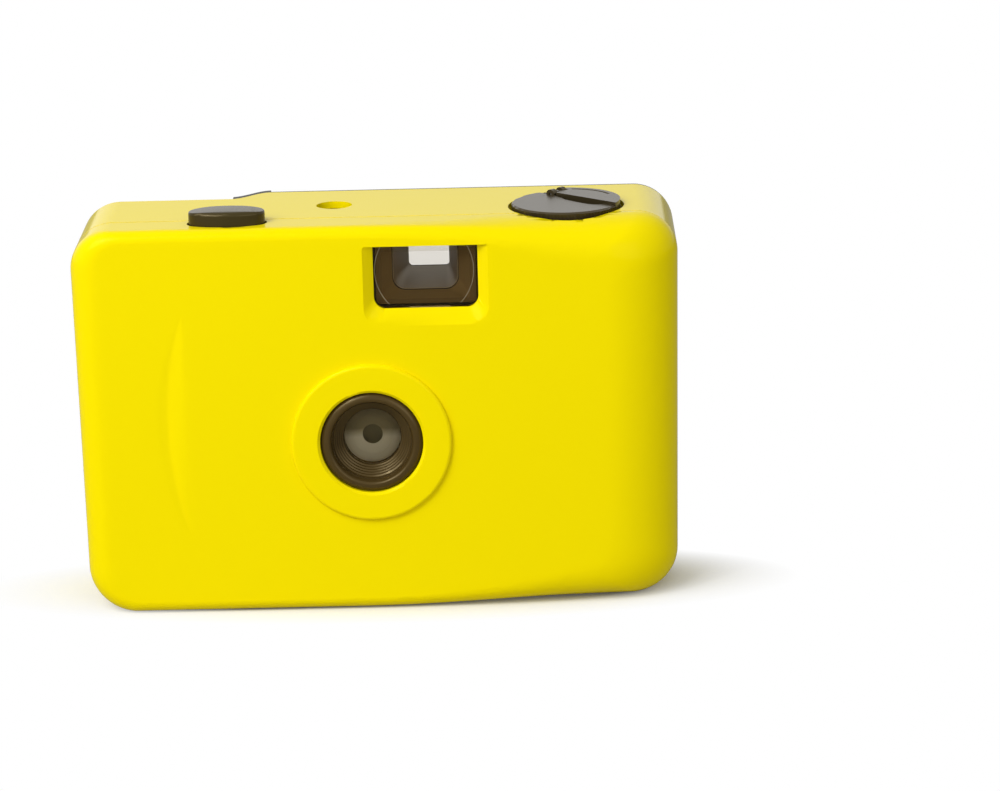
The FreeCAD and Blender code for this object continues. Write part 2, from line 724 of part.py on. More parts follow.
def make_moulding():
    """The dark moulding that holds the film, the lens and the moving parts."""
    front = face_y + shell_wall + chassis_gap
    tube_radius = cartridge_chamber_radius + chamber_wall
    spool_tube_radius = spool_chamber_radius + chamber_wall
    floor_bottom = chamber_floor - deck_thickness
    rear = film_plane_y - rail_height
    inside = front_form(shell_wall + chassis_gap).fuse(band_form(shell_wall + chassis_gap, seam_y, back_y))
    cartridge_tube = upright(rewind_x, rewind_y, floor_bottom, deck_top, tube_radius).common(inside)
    spool_tube = upright(spool_x, spool_y, floor_bottom, deck_top, spool_tube_radius)
    left = spool_x - spool_tube_radius
    right = rewind_x + tube_radius
    deck = box(left, right, front + 1.0, rear, chamber_ceiling, deck_top).common(inside)
    floor = box(left, right, shutter_front_y, rear, floor_bottom, chamber_floor)
    gate_plate = box(sprocket_x, rewind_x - 8, rear - gate_plate_thickness, rear, floor_bottom, deck_top)
    shutter_plate = box(spool_x, rewind_x, shutter_plate_y - shutter_plate_thickness, shutter_plate_y,
                        floor_bottom, deck_top)
    chassis = fuse_all([cartridge_tube, spool_tube, deck, floor, gate_plate, shutter_plate, light_box(1.0)])
    chassis = chassis.cut(upright(rewind_x, rewind_y, chamber_floor, chamber_ceiling, cartridge_chamber_radius))
    chassis = chassis.cut(upright(spool_x, spool_y, chamber_floor, chamber_ceiling, spool_chamber_radius))
    chassis = chassis.cut(box(rewind_x - 11.2, rewind_x + 11.2, rewind_y + 4, 30, chamber_floor, chamber_ceiling))
    chassis = chassis.cut(box(rewind_x - 11.2, rewind_x + 30, rewind_y + 7, 30, -10, 100))
    chassis = chassis.cut(box(spool_x - 9.0, spool_x + 9.0, spool_y + 4, 30, chamber_floor, chamber_ceiling))
    chassis = chassis.cut(box(-60, spool_x + 9.0, spool_y + 7.5, 30, -10, 100))
    chassis = chassis.cut(upright(sprocket_x, sprocket_y, chamber_floor, chamber_ceiling, sprocket_hub_radius + 1.7))
    chassis = chassis.cut(light_box(0.0))
    chassis = chassis.cut(along_y(lens_x, lens_z, shutter_plate_y - 5, shutter_plate_y + 1, light_hole_radius))
    rails = []
    rail_reach = gate_width / 2 + rail_overrun
    for offset in (gate_height / 2 + 0.9, film_width / 2 + 0.5):
        for side in (-1, 1):
            middle = lens_z + side * (offset + rail_width / 2)
            rails.append(box(lens_x - rail_reach, lens_x + rail_reach, rear - 0.1, film_plane_y,
                             middle - rail_width / 2, middle + rail_width / 2))
    chassis = fuse_all([chassis] + rails)
    bores = [
        upright(rewind_x, rewind_y, chamber_ceiling - 1, body_height, bush_radius + shaft_running_gap),
        upright(spool_x, spool_y, 0, body_height, spool_journal_radius + shaft_running_gap),
        upright(sprocket_x, sprocket_y, 0, body_height, sprocket_journal_radius + shaft_running_gap),
        upright(button_x, button_y, chamber_ceiling - 1, body_height, button_stem_radius + 0.2),
    ]
    lugs = []
    for x, z in boss_places():
        bores.append(along_y(x, z, front, back_y, screw_shank_radius + 0.2))
        lugs.append(along_y(x, z, seam_y - 1.15, shutter_plate_y, boss_radius))
        if z > deck_top:
            lugs.append(box(x - boss_radius, x + boss_radius, seam_y - 1.15, shutter_plate_y, chamber_ceiling, z))
    chassis = fuse_all([chassis] + lugs)
    for bore in bores:
        chassis = chassis.cut(bore)
    posts = [
        upright(dial_x, counter_y, deck_top - 0.1, dial_bottom - 0.2, 1.8),
        upright(dial_x, counter_y, deck_top - 0.1, counter_dial_top + 0.3, dial_pin_radius),
        along_y(blade_pin_x, blade_pin_z, shutter_front_y - 1.6, shutter_front_y + 0.2, pivot_pin_radius),
        along_y(release_pivot_x, release_pivot_z, release_lever_y - 0.3, shutter_front_y + 0.2, pivot_pin_radius),
        upright(cocking_x, cocking_y, deck_top - 0.1, cam_bottom + cam_thickness + 0.3, pivot_pin_radius),
    ]
    return fuse_all([chassis] + posts)


def split_moulding():
    """The moulding as five pieces that meet face to face, so that each chamber is a piece of its own."""
    whole = make_moulding()
    side = body_width
    zones = {
        "chassis_floor": box(-side, side, -side, side, 0, chamber_floor),
        "chassis_deck": box(-side, side, -side, side, chamber_ceiling, body_height),
        "cartridge_cradle": upright(rewind_x, rewind_y, chamber_floor, chamber_ceiling,
                                    cartridge_chamber_radius + chamber_wall),
        "spool_cradle": upright(spool_x, spool_y, chamber_floor, chamber_ceiling,
                                spool_chamber_radius + chamber_wall),
    }
    pieces = {}
    rest = whole
    for name, zone in zones.items():
        pieces[name] = whole.common(zone).removeSplitter()
        rest = rest.cut(zone)
    pieces["film_frame"] = rest.removeSplitter()
    return pieces


# Lens group
def make_lens_bezel():
    """The dark funnel round the lens: a rim, then fine concentric steps down to the glass."""
    outside = bezel_opening_radius - bezel_fit_gap
    y = bezel_rim_y + bezel_rim_drop
    profile = [(outside, bezel_rim_y + 0.4), (outside - 0.3, bezel_rim_y), (outside - 1.3, bezel_rim_y)]
    radius = outside - 1.7
    step_in = (radius - lens_window_radius) / bezel_step_count
    step_back = bezel_funnel_depth / bezel_step_count
    profile.append((radius, y))
    for _ in range(bezel_step_count):
        profile.append((radius, y + step_back))
        profile.append((radius - step_in, y + step_back))
        radius = radius - step_in
        y = y + step_back
    profile.append((lens_window_radius, bezel_back_y))
    profile.append((bezel_opening_radius + collar_wall, bezel_back_y))
    profile.append((bezel_opening_radius + collar_wall, bezel_back_y - bezel_flange))
    profile.append((outside, bezel_back_y - bezel_flange))
    return revolve_about_lens(profile)


def lens_element(radius, centre_thickness, dome, front):
    """A glass element with a domed front face of the given rise and a flat back."""
    curve = (radius ** 2 + dome ** 2) / (2 * dome)
    half_way = curve - math.sqrt(curve ** 2 - (radius / 2) ** 2)
    crown = Vector(lens_x, front, lens_z)
    shoulder = Vector(lens_x + radius, front + dome, lens_z)
    back_rim = Vector(lens_x + radius, front + centre_thickness, lens_z)
    back_middle = Vector(lens_x, front + centre_thickness, lens_z)
    edges = [Part.Arc(crown, Vector(lens_x + radius / 2, front + half_way, lens_z), shoulder).toShape(),
             Part.LineSegment(shoulder, back_rim).toShape(),
             Part.LineSegment(back_rim, back_middle).toShape(),
             Part.LineSegment(back_middle, crown).toShape()]
    return Part.Face(Part.Wire(edges)).revolve(crown, Vector(0, 1, 0), 360)


def make_front_lens():
    return lens_element(front_lens_radius, front_lens_thickness, lens_dome, front_lens_y)


def make_rear_lens():
    return lens_element(rear_lens_radius, rear_lens_thickness, lens_dome / 2, rear_lens_y)


def make_aperture_plate():
    disc = along_y(lens_x, lens_z, aperture_y, aperture_y + aperture_thickness, front_lens_radius)
    return disc.cut(along_y(lens_x, lens_z, aperture_y - 1, aperture_y + 1, aperture_radius))


def make_lens_mount():
    """A stepped tube on a flange that stands off the shutter plate on three feet."""
    flange_back = blade_y - blade_gap
    flange_front = flange_back - lens_mount_flange
    tube_front = bezel_back_y + 0.1
    seat_back = aperture_y + aperture_thickness
    rear_seat_back = rear_lens_y + rear_lens_thickness
    tube_radius = front_lens_radius + lens_tube_wall
    front_bore = front_lens_radius + lens_seat_gap
    rear_bore = rear_lens_radius + lens_seat_gap
    profile = [(tube_radius, tube_front), (tube_radius, flange_front), (lens_flange_radius, flange_front),
               (lens_flange_radius, flange_back), (light_hole_radius, flange_back),
               (light_hole_radius, rear_seat_back), (rear_bore, rear_seat_back), (rear_bore, seat_back),
               (front_bore, seat_back), (front_bore, tube_front)]
    parts = [revolve_about_lens(profile)]
    foot_reach = lens_flange_radius - lens_foot_radius - 0.1
    for angle in lens_foot_angles:
        x = lens_x + foot_reach * math.cos(math.radians(angle))
        z = lens_z + foot_reach * math.sin(math.radians(angle))
        parts.append(along_y(x, z, flange_back - 0.1, shutter_front_y, lens_foot_radius))
    return fuse_all(parts)


# Shutter
def make_shutter_blade():
    """A thin blade: a disc over the light hole on an arm to its pivot, and a short tail."""
    thick = Vector(0, blade_thickness, 0)
    disc = along_y(lens_x, lens_z, blade_y, blade_y + blade_thickness, light_hole_radius + 0.9)
    eye = along_y(blade_pin_x, blade_pin_z, blade_y, blade_y + blade_thickness, blade_eye_radius)
    toward = Vector(lens_x - blade_pin_x, 0, lens_z - blade_pin_z).normalize()
    across = Vector(-toward.z, 0, toward.x) * (blade_eye_radius * 0.8)
    start = Vector(blade_pin_x, blade_y, blade_pin_z)
    end = Vector(lens_x, blade_y, lens_z)
    arm = prism([start - across, start + across, end + across, end - across], thick)
    tip = start - toward * blade_tail
    tail = prism([start - across, start + across, tip + across * 0.5, tip - across * 0.5], thick)
    blade = fuse_all([disc, eye, arm, tail])
    return blade.cut(along_y(blade_pin_x, blade_pin_z, blade_y - 1, blade_y + 1, pivot_pin_radius + pivot_gap))


def make_shutter_spring():
    """The fine return spring between the blade's tail and a stud on the shutter plate."""
    toward = Vector(blade_pin_x - lens_x, 0, blade_pin_z - lens_z).normalize()
    start = Vector(blade_pin_x, blade_y + blade_thickness / 2, blade_pin_z) + toward * (blade_tail + 0.4)
    outer = Part.makeCylinder(blade_spring_radius, blade_spring_length, start, toward)
    inner = Part.makeCylinder(blade_spring_radius - blade_spring_wall, blade_spring_length, start, toward)
    return outer.cut(inner)


def make_release_lever():
    """A rocking lever: one arm lies under the button's stem, the other reaches to the shutter."""
    y0 = release_lever_y
    y1 = y0 + release_lever_thickness
    thick = Vector(0, release_lever_thickness, 0)
    eye = along_y(release_pivot_x, release_pivot_z, y0, y1, release_eye_radius)
    pad_top = button_stem_bottom - 0.05
    arm = prism([Vector(release_pivot_x, y0, release_pivot_z - 1.6),
                 Vector(release_pivot_x, y0, release_pivot_z + 1.6),
                 Vector(button_x + 2.6, y0, pad_top), Vector(button_x - 2.0, y0, pad_top),
                 Vector(button_x - 2.0, y0, pad_top - 2.0), Vector(button_x + 2.6, y0, pad_top - 2.2)], thick)
    reach_x = release_pivot_x + release_reach
    finger = prism([Vector(release_pivot_x, y0, release_pivot_z + 1.6), Vector(reach_x, y0, release_pivot_z - 2.0),
                    Vector(reach_x, y0, release_pivot_z - 3.6), Vector(release_pivot_x, y0, release_pivot_z - 1.6)],
                   thick)
    lever = fuse_all([eye, arm, finger])
    return lever.cut(along_y(release_pivot_x, release_pivot_z, y0 - 1, y1 + 1, pivot_pin_radius + pivot_gap))


def make_shutter_button():
    """An oval cap with a crowned top, a flange that holds it under the shell, and a stem."""
    crown_z = body_height + button_proud
    rim_z = crown_z - button_edge_round
    cap = oval_bar(top_inner_z - 1.4, rim_z, 0.0)
    rim_wires = []
    for share in (0.0, 0.3, 0.55, 0.75, 0.9, 1.0):
        depth = button_edge_round * (1 - share)
        rim_wires.append(oval_wire(crown_z - depth, -draw_in(depth, button_edge_round, button_edge_round)))
    cap = cap.fuse(Part.makeLoft(rim_wires, True, True))
    half = button_length / 2
    curve = (half ** 2 + button_crown ** 2) / (2 * button_crown)
    dome = Part.makeCylinder(curve, button_breadth * 2, Vector(button_x, button_y - button_breadth, crown_z - curve),
                             Vector(0, 1, 0))
    cap = cap.common(dome)
    flange = oval_bar(top_inner_z - 1.5, top_inner_z - 0.1, button_skirt)
    hollow = oval_bar(top_inner_z - 2, crown_z - 1.8, -button_wall)
    stem = upright(button_x, button_y, button_stem_bottom, crown_z - 1.2, button_stem_radius)
    return cap.fuse(flange).cut(hollow).fuse(stem).removeSplitter()


def make_button_spring():
    outer = upright(button_x, button_y, deck_top, top_inner_z - 1.6, button_spring_radius)
    return outer.cut(upright(button_x, button_y, deck_top - 1, top_inner_z, button_spring_radius - 0.5))


# Rewind
def knob_frame(shape):
    """Turns a shape made about +X to the angle at which the knob rests."""
    turned = shape.copy()
    turned.rotate(Vector(rewind_x, rewind_y, 0), Vector(0, 0, 1), knob_turn_degrees)
    return turned


def finger_pocket(low):
    """The hollow in front of the crank's straight edge: narrow by the hinge, round at its other end."""
    edge_x = rewind_x + crank_chord_offset + 0.1
    shore = ((0.0, 6.9), (-1.35, 2.6), (-2.2, -1.5), (-2.4, -4.6), (-1.6, -6.5), (0.0, -7.1))
    points = [Vector(edge_x + x, rewind_y + y, low) for x, y in shore]
    curve = Part.BSplineCurve()
    curve.interpolate(points)
    closing = Part.LineSegment(points[-1], points[0])
    return Part.Face(Part.Wire([curve.toShape(), closing.toShape()])).extrude(Vector(0, 0, 10))


def crank_ear_spans():
    """Where along the hinge the knob's two ears stand."""
    first = rewind_x + crank_chord_offset
    second = rewind_x + knob_radius - 4.6
    return ((first - crank_gap, first + 0.9), (second, second + 1.0))


def crank_bore(start_x):
    """The hole for the crank's pin."""
    start = Vector(start_x, rewind_y + crank_axis_along, crank_axis_z)
    return Part.makeCylinder(crank_pin_radius + crank_pin_gap, 20, start, Vector(1, 0, 0))


def make_rewind_knob():
    """A round disc with a seat for the folded crank and a dark fingernail pocket beside it."""
    top = body_height + knob_proud
    bottom = knob_floor_z + knob_floor_gap
    knob = upright(rewind_x, rewind_y, bottom, top, knob_radius)
    rim = [edge for edge in knob.Edges if edge.Length > 10 and edge.BoundBox.ZMin > top - 0.01]
    knob = knob.makeChamfer(knob_edge_bevel, rim)
    notch = box(rewind_x + knob_radius - knob_notch_depth, rewind_x + knob_radius + 1,
                rewind_y - knob_notch_width / 2, rewind_y + knob_notch_width / 2, bottom - 1, top + 1)
    notch.rotate(Vector(rewind_x, rewind_y, 0), Vector(0, 0, 1), knob_notch_angle)
    seat_z = crank_bottom - crank_gap
    seat_x = rewind_x + crank_chord_offset - crank_gap
    seat = box(seat_x, rewind_x + 20, rewind_y - 20, rewind_y + 20, seat_z, top + 1)
    knob = knob.cut(notch).cut(seat).cut(finger_pocket(seat_z - crank_pocket_depth))
    ear_y = rewind_y + crank_axis_along
    ears = []
    for low_x, high_x in crank_ear_spans():
        block = box(low_x, high_x, ear_y - crank_ear_radius, ear_y + crank_ear_radius, seat_z - 0.1, crank_axis_z)
        round_top = Part.makeCylinder(crank_ear_radius, high_x - low_x, Vector(low_x, ear_y, crank_axis_z),
                                      Vector(1, 0, 0))
        ears.append(block.fuse(round_top).common(upright(rewind_x, rewind_y, bottom, top + 5, knob_radius)))
    tail_top = crank_axis_z - 0.1
    tail_keep = box(rewind_x + crank_chord_offset + 0.9, rewind_x + 20, ear_y + crank_ear_radius + 0.4, rewind_y + 20,
                    bottom, tail_top)
    tail = upright(rewind_x, rewind_y, bottom, tail_top, knob_radius).common(tail_keep)
    hub = upright(rewind_x, rewind_y, knob_floor_z - 0.6, bottom + 0.3, rewind_shaft_radius + 0.2)
    knob = fuse_all([knob, tail, hub] + ears)
    return knob_frame(knob.cut(crank_bore(rewind_x)).removeSplitter())


def make_rewind_crank():
    """The half-moon lever: hinged at one end of its straight edge, free at the other."""
    top = crank_bottom + crank_thickness
    ear_y = rewind_y + crank_axis_along
    chord_x = rewind_x + crank_chord_offset
    disc = upright(rewind_x, rewind_y, crank_bottom - 1, top + 1, knob_radius)
    lever = disc.common(box(chord_x, rewind_x + 20, rewind_y - 20, ear_y, crank_bottom, top))
    hub = Part.makeCylinder(crank_thickness / 2, 20, Vector(chord_x, ear_y, crank_axis_z), Vector(1, 0, 0))
    lever = lever.fuse(hub.common(disc))
    reach = crank_ear_radius + 0.3
    for low_x, high_x in crank_ear_spans():
        slot = box(low_x - crank_ear_gap, high_x + crank_ear_gap, ear_y - reach, ear_y + reach,
                   crank_bottom - 1, top + 1)
        lever = lever.cut(slot)
    lever = lever.cut(crank_bore(rewind_x))
    solids = sorted(lever.Solids, key=lambda solid: solid.Volume)
    return knob_frame(solids[-1])


def make_crank_pin():
    start = Vector(rewind_x + crank_chord_offset, rewind_y + crank_axis_along, crank_axis_z)
    length = knob_radius - crank_chord_offset - 3.4
    return knob_frame(Part.makeCylinder(crank_pin_radius, length, start, Vector(1, 0, 0)))


def make_rewind_shaft():
    """A round shaft that ends in a two-tined fork for the film spool."""
    bottom = chamber_ceiling - fork_blade_length
    shaft = upright(rewind_x, rewind_y, bottom, knob_floor_z - 0.6, rewind_shaft_radius)
    slot = box(rewind_x - 10, rewind_x + 10, rewind_y - fork_slot_width / 2, rewind_y + fork_slot_width / 2,
               bottom - 1, chamber_ceiling - 0.6)
    return shaft.cut(slot)


def make_rewind_bush():
    """The flanged bush in the deck that turns with the shaft while the shaft lifts through it."""
    body = upright(rewind_x, rewind_y, chamber_ceiling + 0.1, bush_top, bush_radius)
    flange = upright(rewind_x, rewind_y, deck_top + 0.02, deck_top + 1.2, bush_radius + 1.4)
    return body.fuse(flange).cut(upright(rewind_x, rewind_y, 0, 100, rewind_shaft_radius + shaft_running_gap))


# Film transport
def toothed_disc(x, y, low, high, radius, teeth, depth):
    """A disc with straight-flanked teeth round its rim."""
    points = []
    for index in range(teeth):
        for share, reach in ((0.0, radius - depth), (0.25, radius), (0.6, radius), (0.85, radius - depth)):
            angle = 2 * math.pi * (index + share) / teeth
            points.append(Vector(x + reach * math.cos(angle), y + reach * math.sin(angle), low))
    return prism(points, Vector(0, 0, high - low))


def make_thumb_wheel():
    wheel = toothed_disc(spool_x, spool_y, wheel_bottom, wheel_top, wheel_radius, wheel_teeth, wheel_tooth_depth)
    dish = upright(spool_x, spool_y, wheel_top - 1.2, wheel_top + 1, wheel_radius - 3.0)
    hub = upright(spool_x, spool_y, deck_top + 0.3, wheel_top, spool_journal_radius + 2.4)
    bore = upright(spool_x, spool_y, 0, 100, spool_journal_radius + journal_fit_gap)
    return wheel.cut(dish).fuse(hub).cut(bore).removeSplitter()


def make_take_up_spool():
    """A slotted core between two flanges, on journals in the floor and the deck."""
    low = chamber_floor + spool_gap
    high = chamber_ceiling - spool_gap
    parts = [upright(spool_x, spool_y, low, high, spool_core_radius),
             upright(spool_x, spool_y, low, low + spool_flange_thickness, spool_flange_radius),
             upright(spool_x, spool_y, high - spool_flange_thickness, high, spool_flange_radius),
             upright(spool_x, spool_y, chamber_floor - deck_thickness, wheel_top, spool_journal_radius)]
    spool = fuse_all(parts)
    for angle in (0, 120, 240):
        slot = box(spool_x + 2.6, spool_x + 12, spool_y - spool_slot_width / 2, spool_y + spool_slot_width / 2,
                   lens_z - film_width / 2, lens_z + film_width / 2)
        slot.rotate(Vector(spool_x, spool_y, 0), Vector(0, 0, 1), angle + 90)
        spool = spool.cut(slot)
    return spool


def make_sprocket():
    """The film sprocket: a hub with a toothed rim for each row of perforations."""
    low = chamber_floor + spool_gap
    high = chamber_ceiling - spool_gap
    parts = [upright(sprocket_x, sprocket_y, low, high, sprocket_hub_radius - 1.2),
             upright(sprocket_x, sprocket_y, chamber_floor - deck_thickness + 0.1, dial_bottom,
                     sprocket_journal_radius)]
    for side in (-1, 1):
        middle = lens_z + side * perforation_rows / 2
        parts.append(upright(sprocket_x, sprocket_y, middle - sprocket_rim_width, middle + sprocket_rim_width,
                             sprocket_hub_radius))
        for index in range(sprocket_teeth):
            angle = 2 * math.pi * (index + 0.5) / sprocket_teeth
            tooth = Part.makeCone(0.8, 0.4, sprocket_tooth_height + 0.3,
                                  Vector(sprocket_x + (sprocket_hub_radius - 0.3) * math.cos(angle),
                                         sprocket_y + (sprocket_hub_radius - 0.3) * math.sin(angle), middle),
                                  Vector(math.cos(angle), math.sin(angle), 0))
            parts.append(tooth)
    return fuse_all(parts)


def make_cocking_cam():
    """The snail cam on top of the sprocket shaft that sets the shutter."""
    cam = upright(sprocket_x, sprocket_y, cam_bottom, cam_bottom + cam_thickness, cam_radius - 1.0)
    lobe = upright(sprocket_x + 1.0, sprocket_y, cam_bottom, cam_bottom + cam_thickness, cam_radius - 1.0)
    finger = upright(sprocket_x, sprocket_y, dial_bottom - 1.4, dial_bottom, sprocket_journal_radius + 0.9)
    bore = upright(sprocket_x, sprocket_y, 0, 100, sprocket_journal_radius + journal_fit_gap)
    return Part.makeCompound([cam.fuse(lobe).cut(bore).removeSplitter(), finger.cut(bore)])


def make_cocking_lever():
    """A flat lever on the deck that follows the cam."""
    low = cam_bottom
    high = cam_bottom + cam_thickness
    eye = upright(cocking_x, cocking_y, low, high, 1.9)
    tip_x = sprocket_x + cam_radius + 0.9
    tip_y = sprocket_y - 1.8
    tip = upright(tip_x, tip_y, low, high, 0.7)
    direction = Vector(tip_x - cocking_x, tip_y - cocking_y, 0).normalize()
    across = Vector(-direction.y, direction.x, 0)
    start = Vector(cocking_x, cocking_y, low)
    end = Vector(tip_x, tip_y, low)
    arm = prism([start - across * 1.5, start + across * 1.5, end + across * 0.6, end - across * 0.6],
                Vector(0, 0, cam_thickness))
    lever = fuse_all([eye, arm, tip])
    return lever.cut(upright(cocking_x, cocking_y, 0, 100, pivot_pin_radius + pivot_gap))


def make_wheel_click_spring():
    """The thin spring on the deck whose tip rests by the wheel's teeth."""
    reach = wheel_radius + 0.3
    base_x = spool_x + 2.0
    base_y = spool_y - reach - 0.6
    post = upright(base_x + 7.0, base_y + 1.6, deck_top, wheel_bottom + 2.0, 1.1)
    leaf = box(base_x - 1.0, base_x + 7.0, base_y, base_y + 0.35, wheel_bottom, wheel_bottom + 2.0)
    web = box(base_x + 6.6, base_x + 7.4, base_y, base_y + 1.6, wheel_bottom, wheel_bottom + 2.0)
    return fuse_all([post, leaf, web])


def make_counter_dial():
    dial = toothed_disc(dial_x, counter_y, dial_bottom, counter_dial_top, counter_dial_radius, counter_steps, 0.35)
    hub = upright(dial_x, counter_y, dial_bottom, counter_dial_top, 2.2)
    return dial.fuse(hub).cut(upright(dial_x, counter_y, 0, 100, dial_pin_radius + pivot_gap)).removeSplitter()


def make_counter_window():
    """A clear disc under the top, with a plug that stands a little way up into the hole."""
    plate = upright(counter_x, counter_y, top_inner_z - counter_window_thickness, top_inner_z,
                    counter_hole_radius + 0.9)
    plug = upright(counter_x, counter_y, top_inner_z - 0.1, top_inner_z + 0.3, counter_hole_radius - 0.05)
    return plate.fuse(plug).removeSplitter()


# Viewfinder
def make_finder_front_lens():
    """The clear front lens: a plate in the opening, its flange behind, and a round bulge."""
    front = face_y + finder_recess_depth
    wire = finder_wire(front, 0.0)
    plate = Part.Face(wire).extrude(Vector(0, finder_wall, 0))
    half = finder_window_width / 2
    plate = plate.common(rounded_plate(finder_x - half + finder_fit_gap, finder_x + half - finder_fit_gap,
                                       finder_window_bottom + finder_fit_gap, finder_window_top - finder_fit_gap,
                                       0.4, front, front + finder_wall))
    flange = rounded_plate(finder_x - half - 0.6, finder_x + half + 0.6, finder_window_bottom - 0.6,
                           finder_window_top + 0.6, 1.0, front + finder_wall + 0.02,
                           front + finder_wall + finder_lens_thickness)
    return plate.fuse(flange).fuse(flange_bridge(front)).removeSplitter()


def flange_bridge(front):
    half = finder_window_width / 2 - 1.5
    return rounded_plate(finder_x - half, finder_x + half, finder_window_bottom + 1.5, finder_window_top - 1.5, 0.4,
                         front + 0.3, front + finder_wall + finder_lens_thickness)


def finder_frustum(grow, front, rear):
    """The viewfinder tunnel between two depths: wide at the lens, narrow at the eye."""
    wires = []
    full = finder_tube_rear - finder_tube_front
    for y in (front, rear):
        share = (y - finder_tube_front) / full
        half_x = (finder_window_width + (eyepiece_width - finder_window_width) * share) / 2 + grow
        half_z = (finder_window_height + (eyepiece_height - finder_window_height) * share) / 2 + grow
        middle = finder_z + (eyepiece_z - finder_z) * share
        points = [Vector(finder_x + sx * half_x, y, middle + sz * half_z) for sx, sz in QUADRANTS]
        wires.append(Part.makePolygon(points + [points[0]]))
    return Part.makeLoft(wires, True, True)


def make_finder_tube():
    tube = finder_frustum(finder_tube_wall, finder_tube_front, finder_tube_rear)
    rear_block = rounded_plate(finder_x - eyepiece_width / 2 - eyepiece_lens_rim - 1.0,
                               finder_x + eyepiece_width / 2 + eyepiece_lens_rim + 1.0,
                               eyepiece_z - eyepiece_height / 2 - eyepiece_lens_rim - 1.0,
                               eyepiece_z + eyepiece_height / 2 + eyepiece_lens_rim + 1.0,
                               1.4, finder_tube_rear - 4.0, eyepiece_end_y)
    tube = tube.fuse(rear_block).cut(finder_frustum(0.0, finder_tube_front, finder_tube_rear))
    sight = rounded_plate(finder_x - eyepiece_width / 2, finder_x + eyepiece_width / 2,
                          eyepiece_z - eyepiece_height / 2, eyepiece_z + eyepiece_height / 2, 0.8,
                          finder_tube_rear - 0.1, door_back_y + 1)
    seat = rounded_plate(finder_x - eyepiece_width / 2 - eyepiece_lens_rim - finder_fit_gap,
                         finder_x + eyepiece_width / 2 + eyepiece_lens_rim + finder_fit_gap,
                         eyepiece_z - eyepiece_height / 2 - eyepiece_lens_rim - finder_fit_gap,
                         eyepiece_z + eyepiece_height / 2 + eyepiece_lens_rim + finder_fit_gap,
                         1.0, eyepiece_end_y - eyepiece_lens_thickness - 0.3, door_back_y + 1)
    foot = box(finder_x - 4, finder_x + 4, -8.0, 8.0, deck_top, finder_z - 4.0)
    foot = foot.cut(finder_frustum(0.0, finder_tube_front, finder_tube_rear))
    return fuse_all([tube.cut(sight).cut(seat), foot])


def make_eyepiece_lens():
    rear = eyepiece_end_y - 0.3
    return rounded_plate(finder_x - eyepiece_width / 2 - eyepiece_lens_rim,
                         finder_x + eyepiece_width / 2 + eyepiece_lens_rim,
                         eyepiece_z - eyepiece_height / 2 - eyepiece_lens_rim,
                         eyepiece_z + eyepiece_height / 2 + eyepiece_lens_rim,
                         1.0 - finder_fit_gap, rear - eyepiece_lens_thickness, rear)


# Back door
def make_back_door():
    """The dark door over the whole back, stepped round the thumb recess, with its hinge knuckles."""
    plate = band_form(door_inset, back_y, door_back_y)
    rear_edges = [edge for edge in plate.Edges if edge.BoundBox.YMin > door_back_y - 0.01]
    plate = plate.makeFillet(door_edge_round, rear_edges)
    plate = plate.cut(box(-body_width, hinge_x, back_y - 1, door_back_y + 1, -1, body_height + 1))
    corner = box(-body_width, thumb_ramp_end_x, back_y - 1, door_back_y + 1, shelf_low_z, body_height + 1)
    plate = plate.cut(corner)
    top_band = band_form(door_inset, thumb_wall_y - 1, door_back_y + 1)
    side_x = thumb_step_x + door_gap
    ramp = ramp_area(shelf_low_z, body_height, door_face_gap, door_skin).common(top_band)
    ramp = ramp.common(box(side_x, body_width, -50, 50, 0, 100))
    ramp_floor = ramp_area(shelf_low_z, thumb_shelf_z, door_face_gap, door_skin + thumb_step_depth)
    ramp_floor = ramp_floor.common(box(side_x, thumb_ramp_end_x + 0.1, 0, back_y + 0.5, 0, 100))
    sill = box(side_x, thumb_ramp_end_x, back_y, door_back_y, shelf_low_z - 0.1, thumb_shelf_z)
    door = fuse_all([plate, ramp, ramp_floor, sill])
    rib = band_form(shell_wall + door_gap, back_y - door_rib_depth, back_y + 0.1)
    rib = rib.cut(band_form(shell_wall + door_gap + door_rib_wall, back_y - 10, back_y + 10))
    rib = rib.cut(box(-body_width, thumb_ramp_end_x + 1.5, -50, 50, 20, 100))
    rib = rib.cut(box(-body_width, hinge_x + 9.0, -50, 50, -10, 100))
    rib = rib.cut(box(latch_inner_x - 3.0, body_width, -50, 50, latch_z - latch_length, latch_z + latch_length))
    door = door.fuse(rib)
    view = rounded_plate(finder_x - eyepiece_width / 2 - eyepiece_lens_rim - 1.0 - door_gap,
                         finder_x + eyepiece_width / 2 + eyepiece_lens_rim + 1.0 + door_gap,
                         eyepiece_z - eyepiece_height / 2 - eyepiece_lens_rim - 1.0 - door_gap,
                         eyepiece_z + eyepiece_height / 2 + eyepiece_lens_rim + 1.0 + door_gap,
                         1.4 + door_gap, back_y - 5, door_back_y + 1)
    door = door.cut(view)
    for side in (-1, 1):
        x = rewind_x + side * 5.5
        door = door.fuse(box(x - 0.6, x + 0.6, rewind_y + cartridge_radius + 0.5, back_y + 0.1,
                             chamber_floor + 5.0, chamber_ceiling - 4.6))
    catch_z = latch_z + latch_length / 4
    catch_x = latch_inner_x - latch_inner_thickness - door_gap
    door = door.fuse(box(catch_x - 1.4, catch_x, latch_y + 0.2, back_y + 0.1, catch_z - 2.5, catch_z + 2.5))
    segments = hinge_segments()
    low_end = hinge_bottom - 4.0
    barrel = upright(hinge_x, hinge_y, low_end, shelf_low_z, door_hinge_radius)
    door = door.fuse(barrel)
    for low, high in segments[0::2]:
        clear = upright(hinge_x, hinge_y, low - 0.15, high + 0.15, door_hinge_radius + door_gap)
        door = door.cut(clear)
    door = door.cut(upright(hinge_x, hinge_y, 0, body_height, hinge_pin_radius + hinge_pin_gap))
    return door.removeSplitter()


